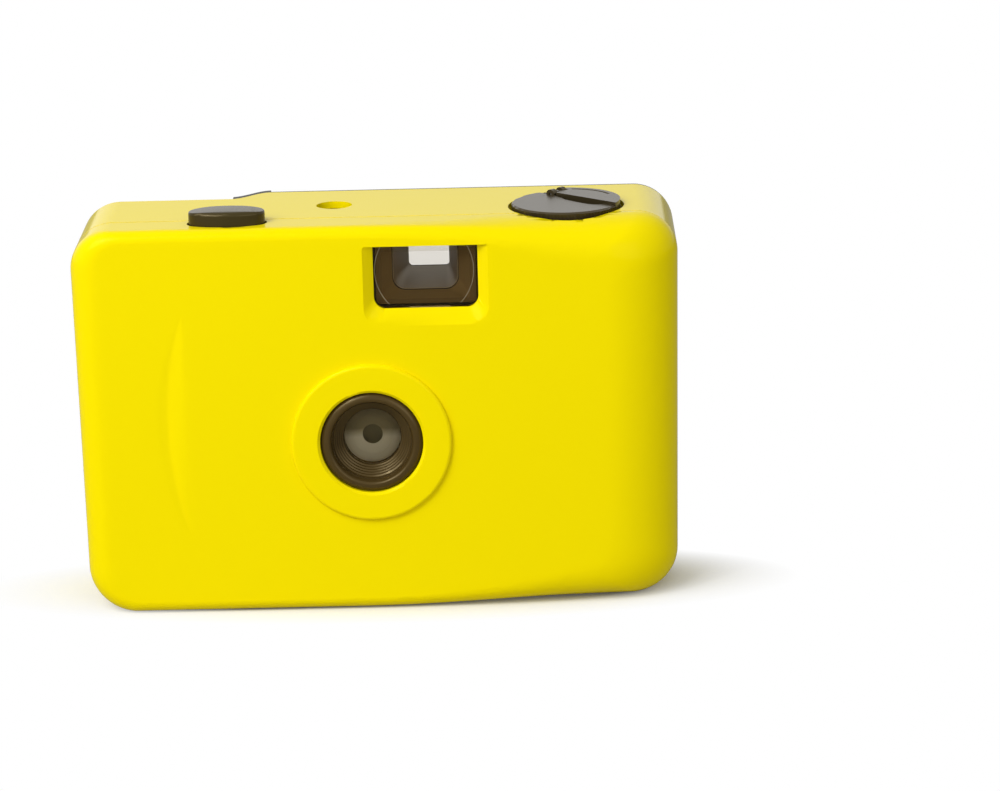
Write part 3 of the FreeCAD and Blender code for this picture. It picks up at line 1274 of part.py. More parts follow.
def make_hinge_pin():
    return upright(hinge_x, hinge_y, hinge_bottom, hinge_top, hinge_pin_radius)


def make_pressure_plate():
    """The flat plate behind the film, with turned-in corners."""
    return rounded_plate(lens_x - pressure_plate_width / 2, lens_x + pressure_plate_width / 2,
                         lens_z - pressure_plate_height / 2, lens_z + pressure_plate_height / 2, 2.0,
                         film_plane_y + pressure_gap, film_plane_y + pressure_gap + pressure_plate_thickness)


def make_pressure_spring():
    """A bowed leaf between the door and the pressure plate."""
    near = film_plane_y + pressure_gap + pressure_plate_thickness + 0.05
    far = back_y
    half = pressure_plate_width / 2 - 4
    leaf = 0.35
    bow = Part.Arc(Vector(lens_x - half, near, 0), Vector(lens_x, far - leaf, 0),
                   Vector(lens_x + half, near, 0)).toShape()
    back = Part.Arc(Vector(lens_x - half, near + leaf, 0), Vector(lens_x, far, 0),
                    Vector(lens_x + half, near + leaf, 0)).toShape()
    ends = [Part.LineSegment(bow.Vertexes[index].Point, back.Vertexes[index].Point).toShape() for index in (0, -1)]
    area = Part.Face(Part.Wire([bow, ends[1], back, ends[0]]))
    area.translate(Vector(0, 0, lens_z - 3))
    return area.extrude(Vector(0, 0, 6))


def make_door_latch():
    """The sliding catch in the shell's side: a ribbed finger pad on a guide plate."""
    low = latch_z - latch_length / 2
    high = latch_z + latch_length / 2
    outer_x = half_width(latch_z) - 0.15
    pad = box(latch_inner_x - 0.1, outer_x, latch_y - latch_breadth / 2 + latch_gap,
              latch_y + latch_breadth / 2 - latch_gap, low, high)
    for index in range(5):
        groove_z = low + (index + 1) * latch_length / 6
        pad = pad.cut(box(outer_x - 0.45, outer_x + 1, latch_y - latch_breadth, latch_y + latch_breadth,
                          groove_z - 0.4, groove_z + 0.4))
    guide = box(latch_inner_x - latch_inner_thickness, latch_inner_x, latch_y - latch_breadth / 2 - 0.9,
                latch_y + latch_breadth / 2 + 0.9, low - 1.5, high + 1.5)
    return pad.fuse(guide).removeSplitter()


def make_latch_spring():
    x = latch_inner_x - latch_inner_thickness / 2 - 0.4
    top = latch_z - latch_length / 2 - 1.5
    outer = upright(x, latch_y, top - latch_spring_length, top - 0.05, 0.9)
    return outer.cut(upright(x, latch_y, 0, 100, 0.5))


# Underside
def make_release_button():
    """The rewind release: a round button sunk in the underside, held by its flange."""
    stem = upright(sprocket_x, sprocket_y, release_button_recess, release_top, release_button_radius)
    flange = upright(sprocket_x, sprocket_y, shell_wall + 0.05, shell_wall + 0.95, release_button_radius + 0.8)
    return stem.fuse(flange).removeSplitter()


def make_release_spring():
    outer = upright(sprocket_x, sprocket_y, shell_wall + 1.0, chamber_floor - deck_thickness - 0.02,
                    release_button_radius + 0.7)
    return outer.cut(upright(sprocket_x, sprocket_y, 0, 50, release_button_radius + 0.2))


def make_chassis_screws():
    screws = []
    for x, z in boss_places():
        head = along_y(x, z, shutter_plate_y, shutter_plate_y + screw_head_height, screw_head_radius)
        shank = along_y(x, z, shutter_plate_y - screw_shank_length, shutter_plate_y + 0.1, screw_shank_radius)
        cross = box(x - 1.2, x + 1.2, shutter_plate_y + screw_head_height - 0.5, 0, z - 0.25, z + 0.25)
        screws.append(head.fuse(shank).cut(cross).removeSplitter())
    return Part.makeCompound(screws)


PIECES = {
    "front_cover": make_front_cover,
    "rear_shell": make_rear_shell,
    "lens_bezel": make_lens_bezel,
    "front_lens": make_front_lens,
    "aperture_plate": make_aperture_plate,
    "rear_lens": make_rear_lens,
    "lens_mount": make_lens_mount,
    "shutter_blade": make_shutter_blade,
    "shutter_spring": make_shutter_spring,
    "release_lever": make_release_lever,
    "shutter_button": make_shutter_button,
    "button_spring": make_button_spring,
    "rewind_knob": make_rewind_knob,
    "rewind_crank": make_rewind_crank,
    "crank_pin": make_crank_pin,
    "rewind_shaft": make_rewind_shaft,
    "rewind_bush": make_rewind_bush,
    "thumb_wheel": make_thumb_wheel,
    "wheel_click_spring": make_wheel_click_spring,
    "take_up_spool": make_take_up_spool,
    "film_sprocket": make_sprocket,
    "cocking_cam": make_cocking_cam,
    "cocking_lever": make_cocking_lever,
    "counter_dial": make_counter_dial,
    "counter_window": make_counter_window,
    "finder_front_lens": make_finder_front_lens,
    "finder_tube": make_finder_tube,
    "eyepiece_lens": make_eyepiece_lens,
    "back_door": make_back_door,
    "hinge_pin": make_hinge_pin,
    "pressure_plate": make_pressure_plate,
    "pressure_spring": make_pressure_spring,
    "door_latch": make_door_latch,
    "latch_spring": make_latch_spring,
    "rewind_release_button": make_release_button,
    "release_spring": make_release_spring,
    "chassis_screws": make_chassis_screws,
}

os.makedirs("parts", exist_ok=True)
for piece_name, make_piece in PIECES.items():
    export(piece_name, make_piece())
for piece_name, piece in split_moulding().items():
    export(piece_name, piece)
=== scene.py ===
# %% [markdown]
# The reusable film camera, dressed in Blender
#
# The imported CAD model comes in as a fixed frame: every piece has its true size and place, and its
# body moves with a joint. This lesson gives each piece the surface of the real one, and remodels
# the small things that CAD left plain. Everything is in metres, with +Z up and the lens along -Y.

# %% Load the frame and keep its box
import bpy
import json
import math
from mathutils import Euler, Matrix, Vector


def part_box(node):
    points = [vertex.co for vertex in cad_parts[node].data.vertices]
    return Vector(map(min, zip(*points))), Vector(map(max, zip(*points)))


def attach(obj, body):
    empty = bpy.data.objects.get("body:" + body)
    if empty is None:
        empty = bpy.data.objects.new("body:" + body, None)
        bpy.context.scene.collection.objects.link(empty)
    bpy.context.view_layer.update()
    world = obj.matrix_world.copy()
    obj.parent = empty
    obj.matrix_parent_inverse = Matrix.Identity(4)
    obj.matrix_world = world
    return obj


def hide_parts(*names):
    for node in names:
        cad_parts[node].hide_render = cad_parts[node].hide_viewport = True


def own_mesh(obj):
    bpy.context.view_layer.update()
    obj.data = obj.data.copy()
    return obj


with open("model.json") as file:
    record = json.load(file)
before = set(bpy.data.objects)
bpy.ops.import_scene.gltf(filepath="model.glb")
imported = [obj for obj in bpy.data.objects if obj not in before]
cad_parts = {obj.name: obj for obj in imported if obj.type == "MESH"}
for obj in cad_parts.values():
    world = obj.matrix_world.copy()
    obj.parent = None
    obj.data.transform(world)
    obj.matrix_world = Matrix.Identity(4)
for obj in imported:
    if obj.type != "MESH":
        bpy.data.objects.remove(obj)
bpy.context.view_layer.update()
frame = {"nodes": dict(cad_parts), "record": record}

MM = 0.001
MERGE = 0.002 * MM  # points nearer than this become one

# %% [markdown]
# Selecting in code
#
# An operator acts on whatever is selected, and the frame arrives selected. So each step starts
# with nothing selected, and then selects only the objects that it works on.

# %% Selection helpers
def only(*objects):
    """Leaves just these objects selected, the last one active."""
    if bpy.context.object and bpy.context.object.mode != "OBJECT":
        bpy.ops.object.mode_set(mode="OBJECT")
    bpy.ops.object.select_all(action="DESELECT")
    for item in objects:
        item.select_set(True)
        bpy.context.view_layer.objects.active = item


def apply_all(piece):
    """Applies every modifier, and leaves the object at the origin, unturned and unscaled."""
    only(piece)
    for name in [modifier.name for modifier in piece.modifiers]:
        bpy.ops.object.modifier_apply(modifier=name)
    bpy.ops.object.transform_apply(location=True, rotation=True, scale=True)


def count(piece):
    print(piece.name, len(piece.data.polygons), "faces")


# %% [markdown]
# Colours and shader nodes
#
# Colours are written as the eye sees them, in sRGB hex. Shaders work in linear light, so one
# function turns each colour over. Another adds one shader node with its settings and its links,
# and works for the world's nodes too.

# %% Colour and node helpers
def linear(hex_colour):
    """An sRGB hex colour as the linear colour that shaders take."""
    channels = [int(hex_colour[i:i + 2], 16) / 255 for i in (1, 3, 5)]
    return [c / 12.92 if c <= 0.04045 else ((c + 0.055) / 1.055) ** 2.4 for c in channels] + [1.0]


def add(material, kind, settings=None, links=None):
    """Adds one shader node: settings by name, links as {socket's name or place: (node, output)}."""
    made = material.node_tree.nodes.new(kind)
    for name, value in (settings or {}).items():
        if name in made.inputs:
            made.inputs[name].default_value = value
        else:
            setattr(made, name, value)
    for name, (source, output) in (links or {}).items():
        material.node_tree.links.new(source.outputs[output], made.inputs[name])
    return made


def shader_of(material):
    return material.node_tree.nodes["Principled BSDF"]


def finish_with(name, settings):
    """A new material with one Principled shader, which later cells may link more nodes to."""
    material = bpy.data.materials.new(name)
    material.use_nodes = True
    for socket, value in settings.items():
        shader_of(material).inputs[socket].default_value = value
    return material


def add_bump(material, size, height, strength, detail=2.0):
    """A fine moulded or blasted texture: noise whose grains have this real size, in millimetres."""
    place = add(material, "ShaderNodeTexCoord")
    noise = add(material, "ShaderNodeTexNoise", {"Scale": 1 / (size * MM), "Detail": detail},
                {"Vector": (place, "Object")})
    bump = add(material, "ShaderNodeBump", {"Distance": height * MM, "Strength": strength},
               {"Height": (noise, "Fac")})
    material.node_tree.links.new(bump.outputs["Normal"], shader_of(material).inputs["Normal"])


# %% [markdown]
# The yellow shell
#
# ABS, injection moulded in a polished tool: a strong, slightly warm yellow all through. The soft
# light all round leaves almost no reflection where we look straight at it, and a pale sheen where
# we look along it, such as on the top. A low specular level gives just that, and its yellow tint
# keeps the blue out of the faces that we look straight at. The polished steel leaves only a faint
# waviness, a few millimetres long, so that the highlights look moulded.

# %% Yellow ABS
YELLOW_SHEEN = (1.0, 0.9, 0.35, 1.0)
yellow_abs = finish_with("yellow_abs_moulded_gloss", {
    "Base Color": linear("#FBE500"), "Roughness": 0.12, "IOR": 1.5, "Specular IOR Level": 0.09,
    "Specular Tint": YELLOW_SHEEN})
add_bump(yellow_abs, size=6.0, height=0.02, strength=0.08, detail=1.0)

# %% [markdown]
# Black mouldings
#
# The same plastic in black, in several finishes: satin for the knob and its crank, gloss for the
# button, a spark eroded matt grain for the back, plain dull for the parts inside, where gloss would
# throw light on the film, and from a turned tool for the funnel round the lens. The blacks are
# painted a warm brown, most of all on the knob, the button and the funnel. This is painted light:
# the warm cast that the yellow shell's light spreads over them. The walls of the finder's tunnel
# are painted a light brown, which is painted light inside the black tunnel. The stop behind the
# lens is
# grey, with painted shade and light: its colour runs from dark above, as the funnel's shadow, to
# light below, between two heights.

# %% Black ABS
# The warm brown in these black base colours is painted light: the cast that the yellow shell's
# light spreads over them.
WARM = (1.0, 0.8, 0.45, 1.0)
black_satin = finish_with("black_abs_moulded_satin", {
    "Base Color": linear("#332C1C"), "Roughness": 0.26, "IOR": 1.5, "Specular Tint": WARM})
add_bump(black_satin, size=0.5, height=0.008, strength=0.2)
black_gloss = finish_with("black_abs_moulded_gloss", {
    "Base Color": linear("#383017"), "Roughness": 0.2, "IOR": 1.5, "Specular IOR Level": 0.3,
    "Specular Tint": WARM})
black_grain = finish_with("black_abs_spark_eroded", {
    "Base Color": linear("#2B2823"), "Roughness": 0.55, "IOR": 1.5})
add_bump(black_grain, size=0.35, height=0.03, strength=0.55)
black_inside = finish_with("black_polystyrene_dull", {
    "Base Color": linear("#26231E"), "Roughness": 0.7, "IOR": 1.5})
add_bump(black_inside, size=0.8, height=0.02, strength=0.3)
black_bezel = finish_with("black_abs_turned_tool", {
    "Base Color": linear("#45361A"), "Roughness": 0.2, "IOR": 1.5, "Specular IOR Level": 0.35,
    "Specular Tint": WARM})
# The tunnel's light brown walls are painted light inside the black tunnel; the rear stage is
# painted lighter.
tunnel_wall_painted_light = finish_with("smoked_polystyrene_dull", {
    "Base Color": linear("#A88A58"), "Roughness": 0.6, "IOR": 1.5, "Specular IOR Level": 0.3,
    "Specular Tint": WARM})
tunnel_rear_painted_lighter = finish_with("smoked_polystyrene_satin", {
    "Base Color": linear("#B09A76"), "Roughness": 0.45, "IOR": 1.5, "Specular IOR Level": 0.3,
    "Specular Tint": WARM})

# %% Grey stop
# The stop's colour is painted shade and light: a ramp on height, dark above for the funnel's shadow
# and light below.
PAINTED_SHADE_ABOVE, PAINTED_LIGHT_BELOW = 33.5 * MM, 31.8 * MM
grey_stop = finish_with("grey_acetal_matt", {
    "Roughness": 0.6, "IOR": 1.45, "Specular IOR Level": 0.2})
stop_place = add(grey_stop, "ShaderNodeTexCoord")
stop_split = add(grey_stop, "ShaderNodeSeparateXYZ", {}, {"Vector": (stop_place, "Object")})
stop_painted_light_share = add(grey_stop, "ShaderNodeMapRange",
                 {"From Min": PAINTED_SHADE_ABOVE, "From Max": PAINTED_LIGHT_BELOW, "To Min": 0.0, "To Max": 1.0},
                 {"Value": (stop_split, "Z")})
stop_painted_shade_ramp = add(grey_stop, "ShaderNodeValToRGB", {}, {"Fac": (stop_painted_light_share, "Result")})
stop_painted_shade_ramp.color_ramp.elements[0].color = linear("#867859")
stop_painted_shade_ramp.color_ramp.elements[1].color = linear("#D8CBB2")
grey_stop.node_tree.links.new(stop_painted_shade_ramp.outputs["Color"], shader_of(grey_stop).inputs["Base Color"])

# %% [markdown]
# Clear pieces
#
# Thin clear plastic shows as two things: what lies behind it, hardly tinted, and a mirror image of
# the room that grows stronger towards the edge. So each clear material mixes a transparent shader
# and a glossy one, by the Fresnel law. Light passes through it to the pieces behind without noise.

# %% Clear plastics
def thin_clear(name, tint, index, mirror_colour):
    """A clear material: a see-through shader and a mirror, mixed by the Fresnel law."""
    material = bpy.data.materials.new(name)
    material.use_nodes = True
    material.node_tree.nodes.clear()
    through = add(material, "ShaderNodeBsdfTransparent", {"Color": linear(tint)})
    mirror = add(material, "ShaderNodeBsdfGlossy",
                 {"Color": linear(mirror_colour), "Roughness": 0.03})
    edge = add(material, "ShaderNodeFresnel", {"IOR": index})
    both = add(material, "ShaderNodeMixShader", {},
               {"Fac": (edge, "Fac"), 1: (through, "BSDF"), 2: (mirror, "BSDF")})
    add(material, "ShaderNodeOutputMaterial", {}, {"Surface": (both, "Shader")})
    return material


lens_acrylic = thin_clear("acrylic_lens_coated", "#FAFAF6", 1.49, "#9C8A64")
clear_styrene = thin_clear("clear_polystyrene_moulded", "#F9F8F6", 1.4, "#A08A5C")
# The pale, half see-through colour of the bulge's edge is a painted highlight.
styrene_edge = finish_with("clear_polystyrene_edge", {
    "Base Color": linear("#E8DAB8"), "Roughness": 0.3, "IOR": 1.5, "Alpha": 0.6})

# %% [markdown]
# Metals and the white moulding
#
# Springs are drawn steel wire or rolled strip. The blade and the pressure plate are blackened steel
# sheet with a dull skin, painted a lighter brownish grey. This is painted light for the pupil of
# the lens, where the blade shows through. The screws are zinc plated, the bush is turned brass, and
# the counter and the cam are white acetal, which slides without oil.

# %% Metals and acetal
spring_steel = finish_with("spring_steel_drawn", {
    "Base Color": linear("#B9B7B2"), "Metallic": 1.0, "Roughness": 0.28})
# This brownish grey is painted light: the blackened steel is made lighter for the lens's pupil,
# where the blade shows through.
steel_sheet_painted_lighter = finish_with("steel_sheet_blackened", {
    "Base Color": linear("#7A7058"), "Metallic": 0.2, "Roughness": 0.5})
add_bump(steel_sheet_painted_lighter, size=3.0, height=0.01, strength=0.1)
zinc_plate = finish_with("steel_zinc_plated", {
    "Base Color": linear("#C2C1BE"), "Metallic": 1.0, "Roughness": 0.32})
turned_brass = finish_with("brass_turned", {
    "Base Color": linear("#C9A45A"), "Metallic": 1.0, "Roughness": 0.3})
white_acetal = finish_with("white_acetal_moulded", {
    "Base Color": linear("#E9E6DC"), "Roughness": 0.45, "IOR": 1.48})
add_bump(white_acetal, size=0.5, height=0.01, strength=0.2)
dial_ink = finish_with("black_ink_printed", {
    "Base Color": linear("#1B1B1B"), "Roughness": 0.6})
print(len(bpy.data.materials), "materials")

# %% [markdown]
# Smooth copies of the moulded pieces
#
# A CAD node's mesh is loose triangles, so it would shade as flat facets. A copy of it is merged
# into one surface, its level triangles are joined to whole faces, and it is smoothed where faces
# meet at less than 30 degrees. Its normals are weighted by face area, which keeps the big flat
# faces flat next to their roundings.

# %% Copy, merge and smooth
def smooth(piece):
    """Joins level triangles, smooths shallow edges and weights the normals by face area."""
    only(piece)
    bpy.ops.object.mode_set(mode="EDIT")
    bpy.ops.mesh.select_all(action="SELECT")
    bpy.ops.mesh.remove_doubles(threshold=MERGE)
    bpy.ops.mesh.dissolve_limited(angle_limit=math.radians(0.6))
    bpy.ops.object.mode_set(mode="OBJECT")
    bpy.ops.object.shade_smooth_by_angle(angle=math.radians(30))
    weigh = piece.modifiers.new("weigh", "WEIGHTED_NORMAL")
    weigh.keep_sharp = True
    apply_all(piece)


def smooth_copy(node, material, body):
    """A smoothed copy of a CAD node, which stands in its place and rides the same body."""
    piece = frame["nodes"][node].copy()
    piece.data = frame["nodes"][node].data.copy()
    piece.name = node + "_surface"
    for key in list(piece.keys()):
        del piece[key]
    piece.parent = None
    piece.matrix_world = Matrix.Identity(4)
    bpy.context.collection.objects.link(piece)
    smooth(piece)
    piece.data.materials.clear()
    piece.data.materials.append(material)
    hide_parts(node)
    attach(piece, body)
    count(piece)
    return piece


bodies = frame["record"]["behaviour"]["bodies"]
body_of = {node: body for body, nodes in bodies.items() for node in nodes}
SURFACES = {
    "front_cover": yellow_abs, "rear_shell": yellow_abs, "back_door": black_grain,
    "rear_lens": lens_acrylic, "finder_front_lens": clear_styrene,
    "finder_tube": black_inside, "eyepiece_lens": clear_styrene, "counter_window": clear_styrene,
    "shutter_button": black_gloss, "rewind_knob": black_satin, "rewind_crank": black_satin,
    "rewind_release_button": black_satin, "thumb_wheel": black_grain, "door_latch": black_grain,
    "take_up_spool": black_inside, "film_sprocket": black_inside, "rewind_shaft": black_inside,
    "rewind_bush": turned_brass, "pressure_plate": steel_sheet_painted_lighter, "lens_mount": black_inside,
    "film_frame": black_inside, "cartridge_cradle": black_inside, "spool_cradle": black_inside,
    "chassis_deck": black_inside, "chassis_floor": black_inside,
    "counter_dial": white_acetal, "cocking_cam": white_acetal, "cocking_lever": spring_steel,
    "crank_pin": spring_steel, "hinge_pin": spring_steel, "shutter_blade": steel_sheet_painted_lighter,
    "release_lever": black_inside, "wheel_click_spring": spring_steel,
    "pressure_spring": spring_steel, "chassis_screws": zinc_plate,
}
surface = {node: smooth_copy(node, material, body_of[node])
           for node, material in SURFACES.items()}

# %% [markdown]
# Round pieces
#
# The funnel, the lens and the stop behind it are turned shapes. Each starts as a circle whose
# points are moved onto half of the cross-section, and that outline is spun about the lens's axis.
# The seam is merged and the normals are made to face outwards.

# %% Spinning an outline
LENS = Vector((-1.4, 0, 32.4)) * MM


def around(degrees):
    """Cosine and sine of an angle: its point on a circle with a radius of one."""
    return math.cos(math.radians(degrees)), math.sin(math.radians(degrees))


def begin(name, operator, **settings):
    """Makes an object with nothing else selected, and names it."""
    only()
    operator(**settings)
    piece = bpy.context.object
    piece.name = name
    return piece


def closed_line(name, points, **settings):
    """A circle whose vertices are moved onto these points, which are in metres."""
    piece = begin(name, bpy.ops.mesh.primitive_circle_add, vertices=len(points), radius=0.01,
                  **settings)
    for vertex, point in zip(piece.data.vertices, points):
        vertex.co = point
    return piece


def spin(steps, degrees, centre, axis):
    """Spins the active outline, and merges the seam of a whole turn or closes a part's two ends.

    Blender counts the angle clockwise for someone whom the axis points at.
    """
    bpy.ops.object.mode_set(mode="EDIT")
    bpy.ops.mesh.select_all(action="SELECT")
    bpy.ops.mesh.spin(steps=steps, angle=math.radians(degrees), center=centre, axis=axis)
    bpy.ops.mesh.select_all(action="SELECT")
    if degrees == 360:
        bpy.ops.mesh.remove_doubles(threshold=MERGE)
    else:
        bpy.ops.mesh.fill_holes(sides=4)
    bpy.ops.mesh.normals_make_consistent(inside=False)
    bpy.ops.object.mode_set(mode="OBJECT")


def dress(piece, material, body, *nodes, angle=35):
    """Smooths a finished piece, gives it its material and lets it ride its body."""
    apply_all(piece)
    bpy.ops.object.shade_smooth_by_angle(angle=math.radians(angle))
    piece.data.materials.clear()
    piece.data.materials.append(material)
    if nodes:
        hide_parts(*nodes)
    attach(piece, body)
    count(piece)


def turned(name, outline, material, node):
    """A piece of revolution: (radius, depth) points in millimetres, spun about the lens's axis."""
    piece = closed_line(name, [LENS + Vector((radius, depth, 0)) * MM for radius, depth in outline])
    spin(96, 360, LENS, (0, 1, 0))
    dress(piece, material, "camera_body", node)


# %% [markdown]
# The funnel round the lens
#
# A black moulding pressed in from behind. Its lip is a soft round that runs over into a funnel, and
# catches one short highlight at the upper left. Below the funnel it steps down five times, cut
# sharply into the tool, so that no light glances off the wall into the lens. The narrow rings
# between the steps slope, and throw back the lamp as bright arcs at the lower right.

# %% Lens bezel
GLASS_RADIUS, LIP_RADIUS, OUTSIDE_RADIUS, FLANGE_RADIUS = 5.3, 8.1, 9.49, 10.9
FLANGE_FRONT, FLANGE_BACK = -13.35, -12.75
STEPS, STEP_IN, STEP_DOWN = 5, 0.36, 0.48

# The lip is two quarters of an ellipse: 1.39 by 1.2 mm outside, and 0.85 by 1.8 mm inside.
lip = []
for across, along in map(around, range(0, 91, 9)):
    lip.append((LIP_RADIUS + 1.39 * across, -16.3 - 1.2 * along))
for along, across in map(around, range(9, 91, 9)):
    lip.append((LIP_RADIUS - 0.85 * across, -15.7 - 1.8 * along))

# The funnel's wall ends where the first step begins.
steps_down = []
radius, depth = 7.15, -15.3
for _ in range(STEPS):
    steps_down += [(radius, depth), (radius - 0.28, depth + 0.18),
                   (radius - 0.34, depth + STEP_DOWN)]
    radius, depth = radius - STEP_IN, depth + STEP_DOWN
seat = [(GLASS_RADIUS, depth + 0.1), (GLASS_RADIUS, FLANGE_BACK)]
flange = [(FLANGE_RADIUS, FLANGE_BACK), (FLANGE_RADIUS, FLANGE_FRONT)]
bezel_outline = [(OUTSIDE_RADIUS, FLANGE_FRONT)] + lip + steps_down + seat + flange
turned("lens_bezel_turned", bezel_outline, black_bezel, "lens_bezel")

# %% [markdown]
# The front lens and what lies behind it
#
# A shallow acrylic dome with two fine moulded rings near its edge. Through it we look at the grey
# stop, painted darker above as the funnel's shadow and lighter below as the light, and at the dark
# hole in its middle.

# %% Lens and stop
dome = [(0.0, -13.1), (1.5, -13.06), (3.0, -12.95), (4.5, -12.76)]
inner_ring = [(4.55, -12.84), (4.66, -12.84), (4.7, -12.72)]
outer_ring = [(5.1, -12.67), (5.14, -12.76), (5.26, -12.76)]
flat_back = [(GLASS_RADIUS, -12.6), (GLASS_RADIUS, -11.3), (0.0, -11.3)]
turned("front_lens_dome", dome + inner_ring + outer_ring + flat_back, lens_acrylic, "front_lens")
stop_front = [(6.0, -11.28), (3.75, -11.28), (3.7, -11.24)]
stop_hole = [(1.9, -11.12), (1.85, -11.02)]
stop_back = [(6.0, -11.02)]
turned("aperture_stop", stop_front + stop_hole + stop_back, grey_stop, "aperture_plate")

# %% [markdown]
# Coil springs
#
# Drawn steel wire, wound. CAD holds each as a plain tube. Here a small circle is carried round and
# along by a Screw modifier, which is then applied.

# %% Springs
def wound(name, wire, reach, turns, length, sides, steps):
    """Wire of this radius, wound upright about the Z axis at this reach from it."""
    piece = begin(name, bpy.ops.mesh.primitive_circle_add, vertices=sides, radius=wire,
                  location=(reach, 0, 0), rotation=(math.pi / 2, 0, 0))
    bpy.ops.object.transform_apply(location=True, rotation=True, scale=True)
    screw = piece.modifiers.new("wind", "SCREW")
    screw.steps = screw.render_steps = steps
    screw.iterations = turns
    screw.screw_offset = length / turns
    only(piece)
    bpy.ops.object.modifier_apply(modifier="wind")
    return piece


def coil(name, node, wire, turns):
    """A coil spring in the box of its CAD tube, wound up from the tube's lower end.
    """
    low, high = (Vector(corner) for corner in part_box(node))
    middle = (low + high) / 2
    wire *= MM
    piece = wound(name, wire, (high.x - low.x) / 2 - wire, turns, high.z - low.z - 2 * wire,
                  sides=10, steps=20)
    bpy.ops.object.mode_set(mode="EDIT")
    bpy.ops.mesh.select_all(action="SELECT")
    bpy.ops.mesh.fill_holes(sides=12)
    bpy.ops.mesh.normals_make_consistent(inside=False)
    bpy.ops.object.mode_set(mode="OBJECT")
    piece.location = (middle.x, middle.y, low.z + wire)
    dress(piece, spring_steel, "camera_body", node)
    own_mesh(piece)


coil("button_coil", "button_spring", wire=0.25, turns=7)
coil("rewind_release_coil", "release_spring", wire=0.2, turns=4)
coil("latch_coil", "latch_spring", wire=0.15, turns=8)

# %% [markdown]
# The shutter's return spring
#
# Finer wire, stretched from a stud to the blade's tail, at a slant. It is wound upright first, then
# turned onto its line.

# %% Shutter spring
SPRING_LENGTH = 5.6 * MM
low, high = (Vector(corner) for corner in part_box("shutter_spring"))
fine = wound("shutter_coil", 0.08 * MM, 0.35 * MM, 16, SPRING_LENGTH, sides=8, steps=16)
slant = Vector((10.4, 0, 7.4)).normalized()
fine.rotation_euler = Vector((0, 0, 1)).rotation_difference(slant).to_euler()
fine.location = (low + high) / 2 - slant * SPRING_LENGTH / 2
dress(fine, spring_steel, "camera_body", "shutter_spring")

# %% [markdown]
# The viewfinder's tunnel
#
# Inside the black tube the tunnel narrows in two stages. Both have walls painted a light brown,
# which is painted light that stands in for the light inside the tunnel. The front stage is a little
# duller. From the middle on it is smoother and painted lighter, a U shape below the eyepiece, and
# it ends at the lit opening.

# %% Tunnel liner
def corners_at(depth, left, right, low, high, radius):
    """Points round a rectangle whose lower corners are rounded, seen from the front."""
    bends = [around(15 * step) for step in range(1, 6)]
    points = [(left, high), (left, low + radius)]
    points += [(left + radius * (1 - across), low + radius * (1 - up)) for across, up in bends]
    points += [(left + radius, low), (right - radius, low)]
    points += [(right - radius * (1 - up), low + radius * (1 - across)) for across, up in bends]
    points += [(right, low + radius), (right, high)]
    return [Vector((x, depth, z)) * MM for x, z in points]


def tunnel_stage(name, front, rear, material):
    """Joins two outlines with a wall, and gives the wall a little thickness."""
    piece = closed_line(name, front)
    bpy.ops.object.mode_set(mode="EDIT")
    bpy.ops.mesh.select_all(action="SELECT")
    bpy.ops.mesh.extrude_edges_move()
    bpy.ops.object.mode_set(mode="OBJECT")
    for vertex, place in zip(list(piece.data.vertices)[len(front):], rear):
        vertex.co = place
    thick = piece.modifiers.new("thick", "SOLIDIFY")
    thick.thickness = 0.12 * MM
    thick.offset = 0
    dress(piece, material, "camera_body", angle=50)


mouth = corners_at(-13.1, left=0.2, right=18.6, low=57.7, high=69.0, radius=0.8)
narrows = corners_at(-7.6, left=3.0, right=15.4, low=58.9, high=68.2, radius=2.4)
tunnel_stage("finder_tunnel_front", mouth, narrows, tunnel_wall_painted_light)
middle = corners_at(-7.3, left=3.2, right=15.2, low=59.1, high=68.0, radius=2.3)
eye_end = corners_at(13.4, left=5.5, right=13.3, low=58.6, high=66.1, radius=0.8)
tunnel_stage("finder_tunnel_rear", middle, eye_end, tunnel_rear_painted_lighter)

# %% [markdown]
# The bulge of the finder's window
#
# The middle of the front window is a round lens. Its edge is a fine step, drawn as two pale arcs
# that are a painted highlight, as the window cuts the circle off above and below.

# %% Two arcs
WINDOW = Vector((9.13, 0, 64.28)) * MM
FLAT_THICKNESS = 1.4 * MM
ARC_INSIDE, ARC_OUTSIDE, ARC_DEPTH = 9.04, 9.16, 0.06
RIGHT_ARC, LEFT_ARC, ARC_TURN = -44, 149, 75
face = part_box("finder_front_lens")[1][1] - FLAT_THICKNESS - 0.03 * MM
section = ((ARC_INSIDE, 0), (ARC_OUTSIDE, 0), (ARC_OUTSIDE, ARC_DEPTH), (ARC_INSIDE, ARC_DEPTH))
for start in (RIGHT_ARC, LEFT_ARC):
    across, up = around(start)
    corners = [WINDOW + Vector((radius * across * MM, face + depth * MM, radius * up * MM))
               for radius, depth in section]
    arc = closed_line("finder_bulge_edge", corners)
    spin(28, ARC_TURN, WINDOW, (0, 1, 0))
    dress(arc, styrene_edge, "camera_body")

# %% [markdown]
# The counter's dial
#
# White acetal, printed in black: a stroke for each frame and a number at every fourth one. The
# window shows one number at a time to someone who holds the camera up to the eye.

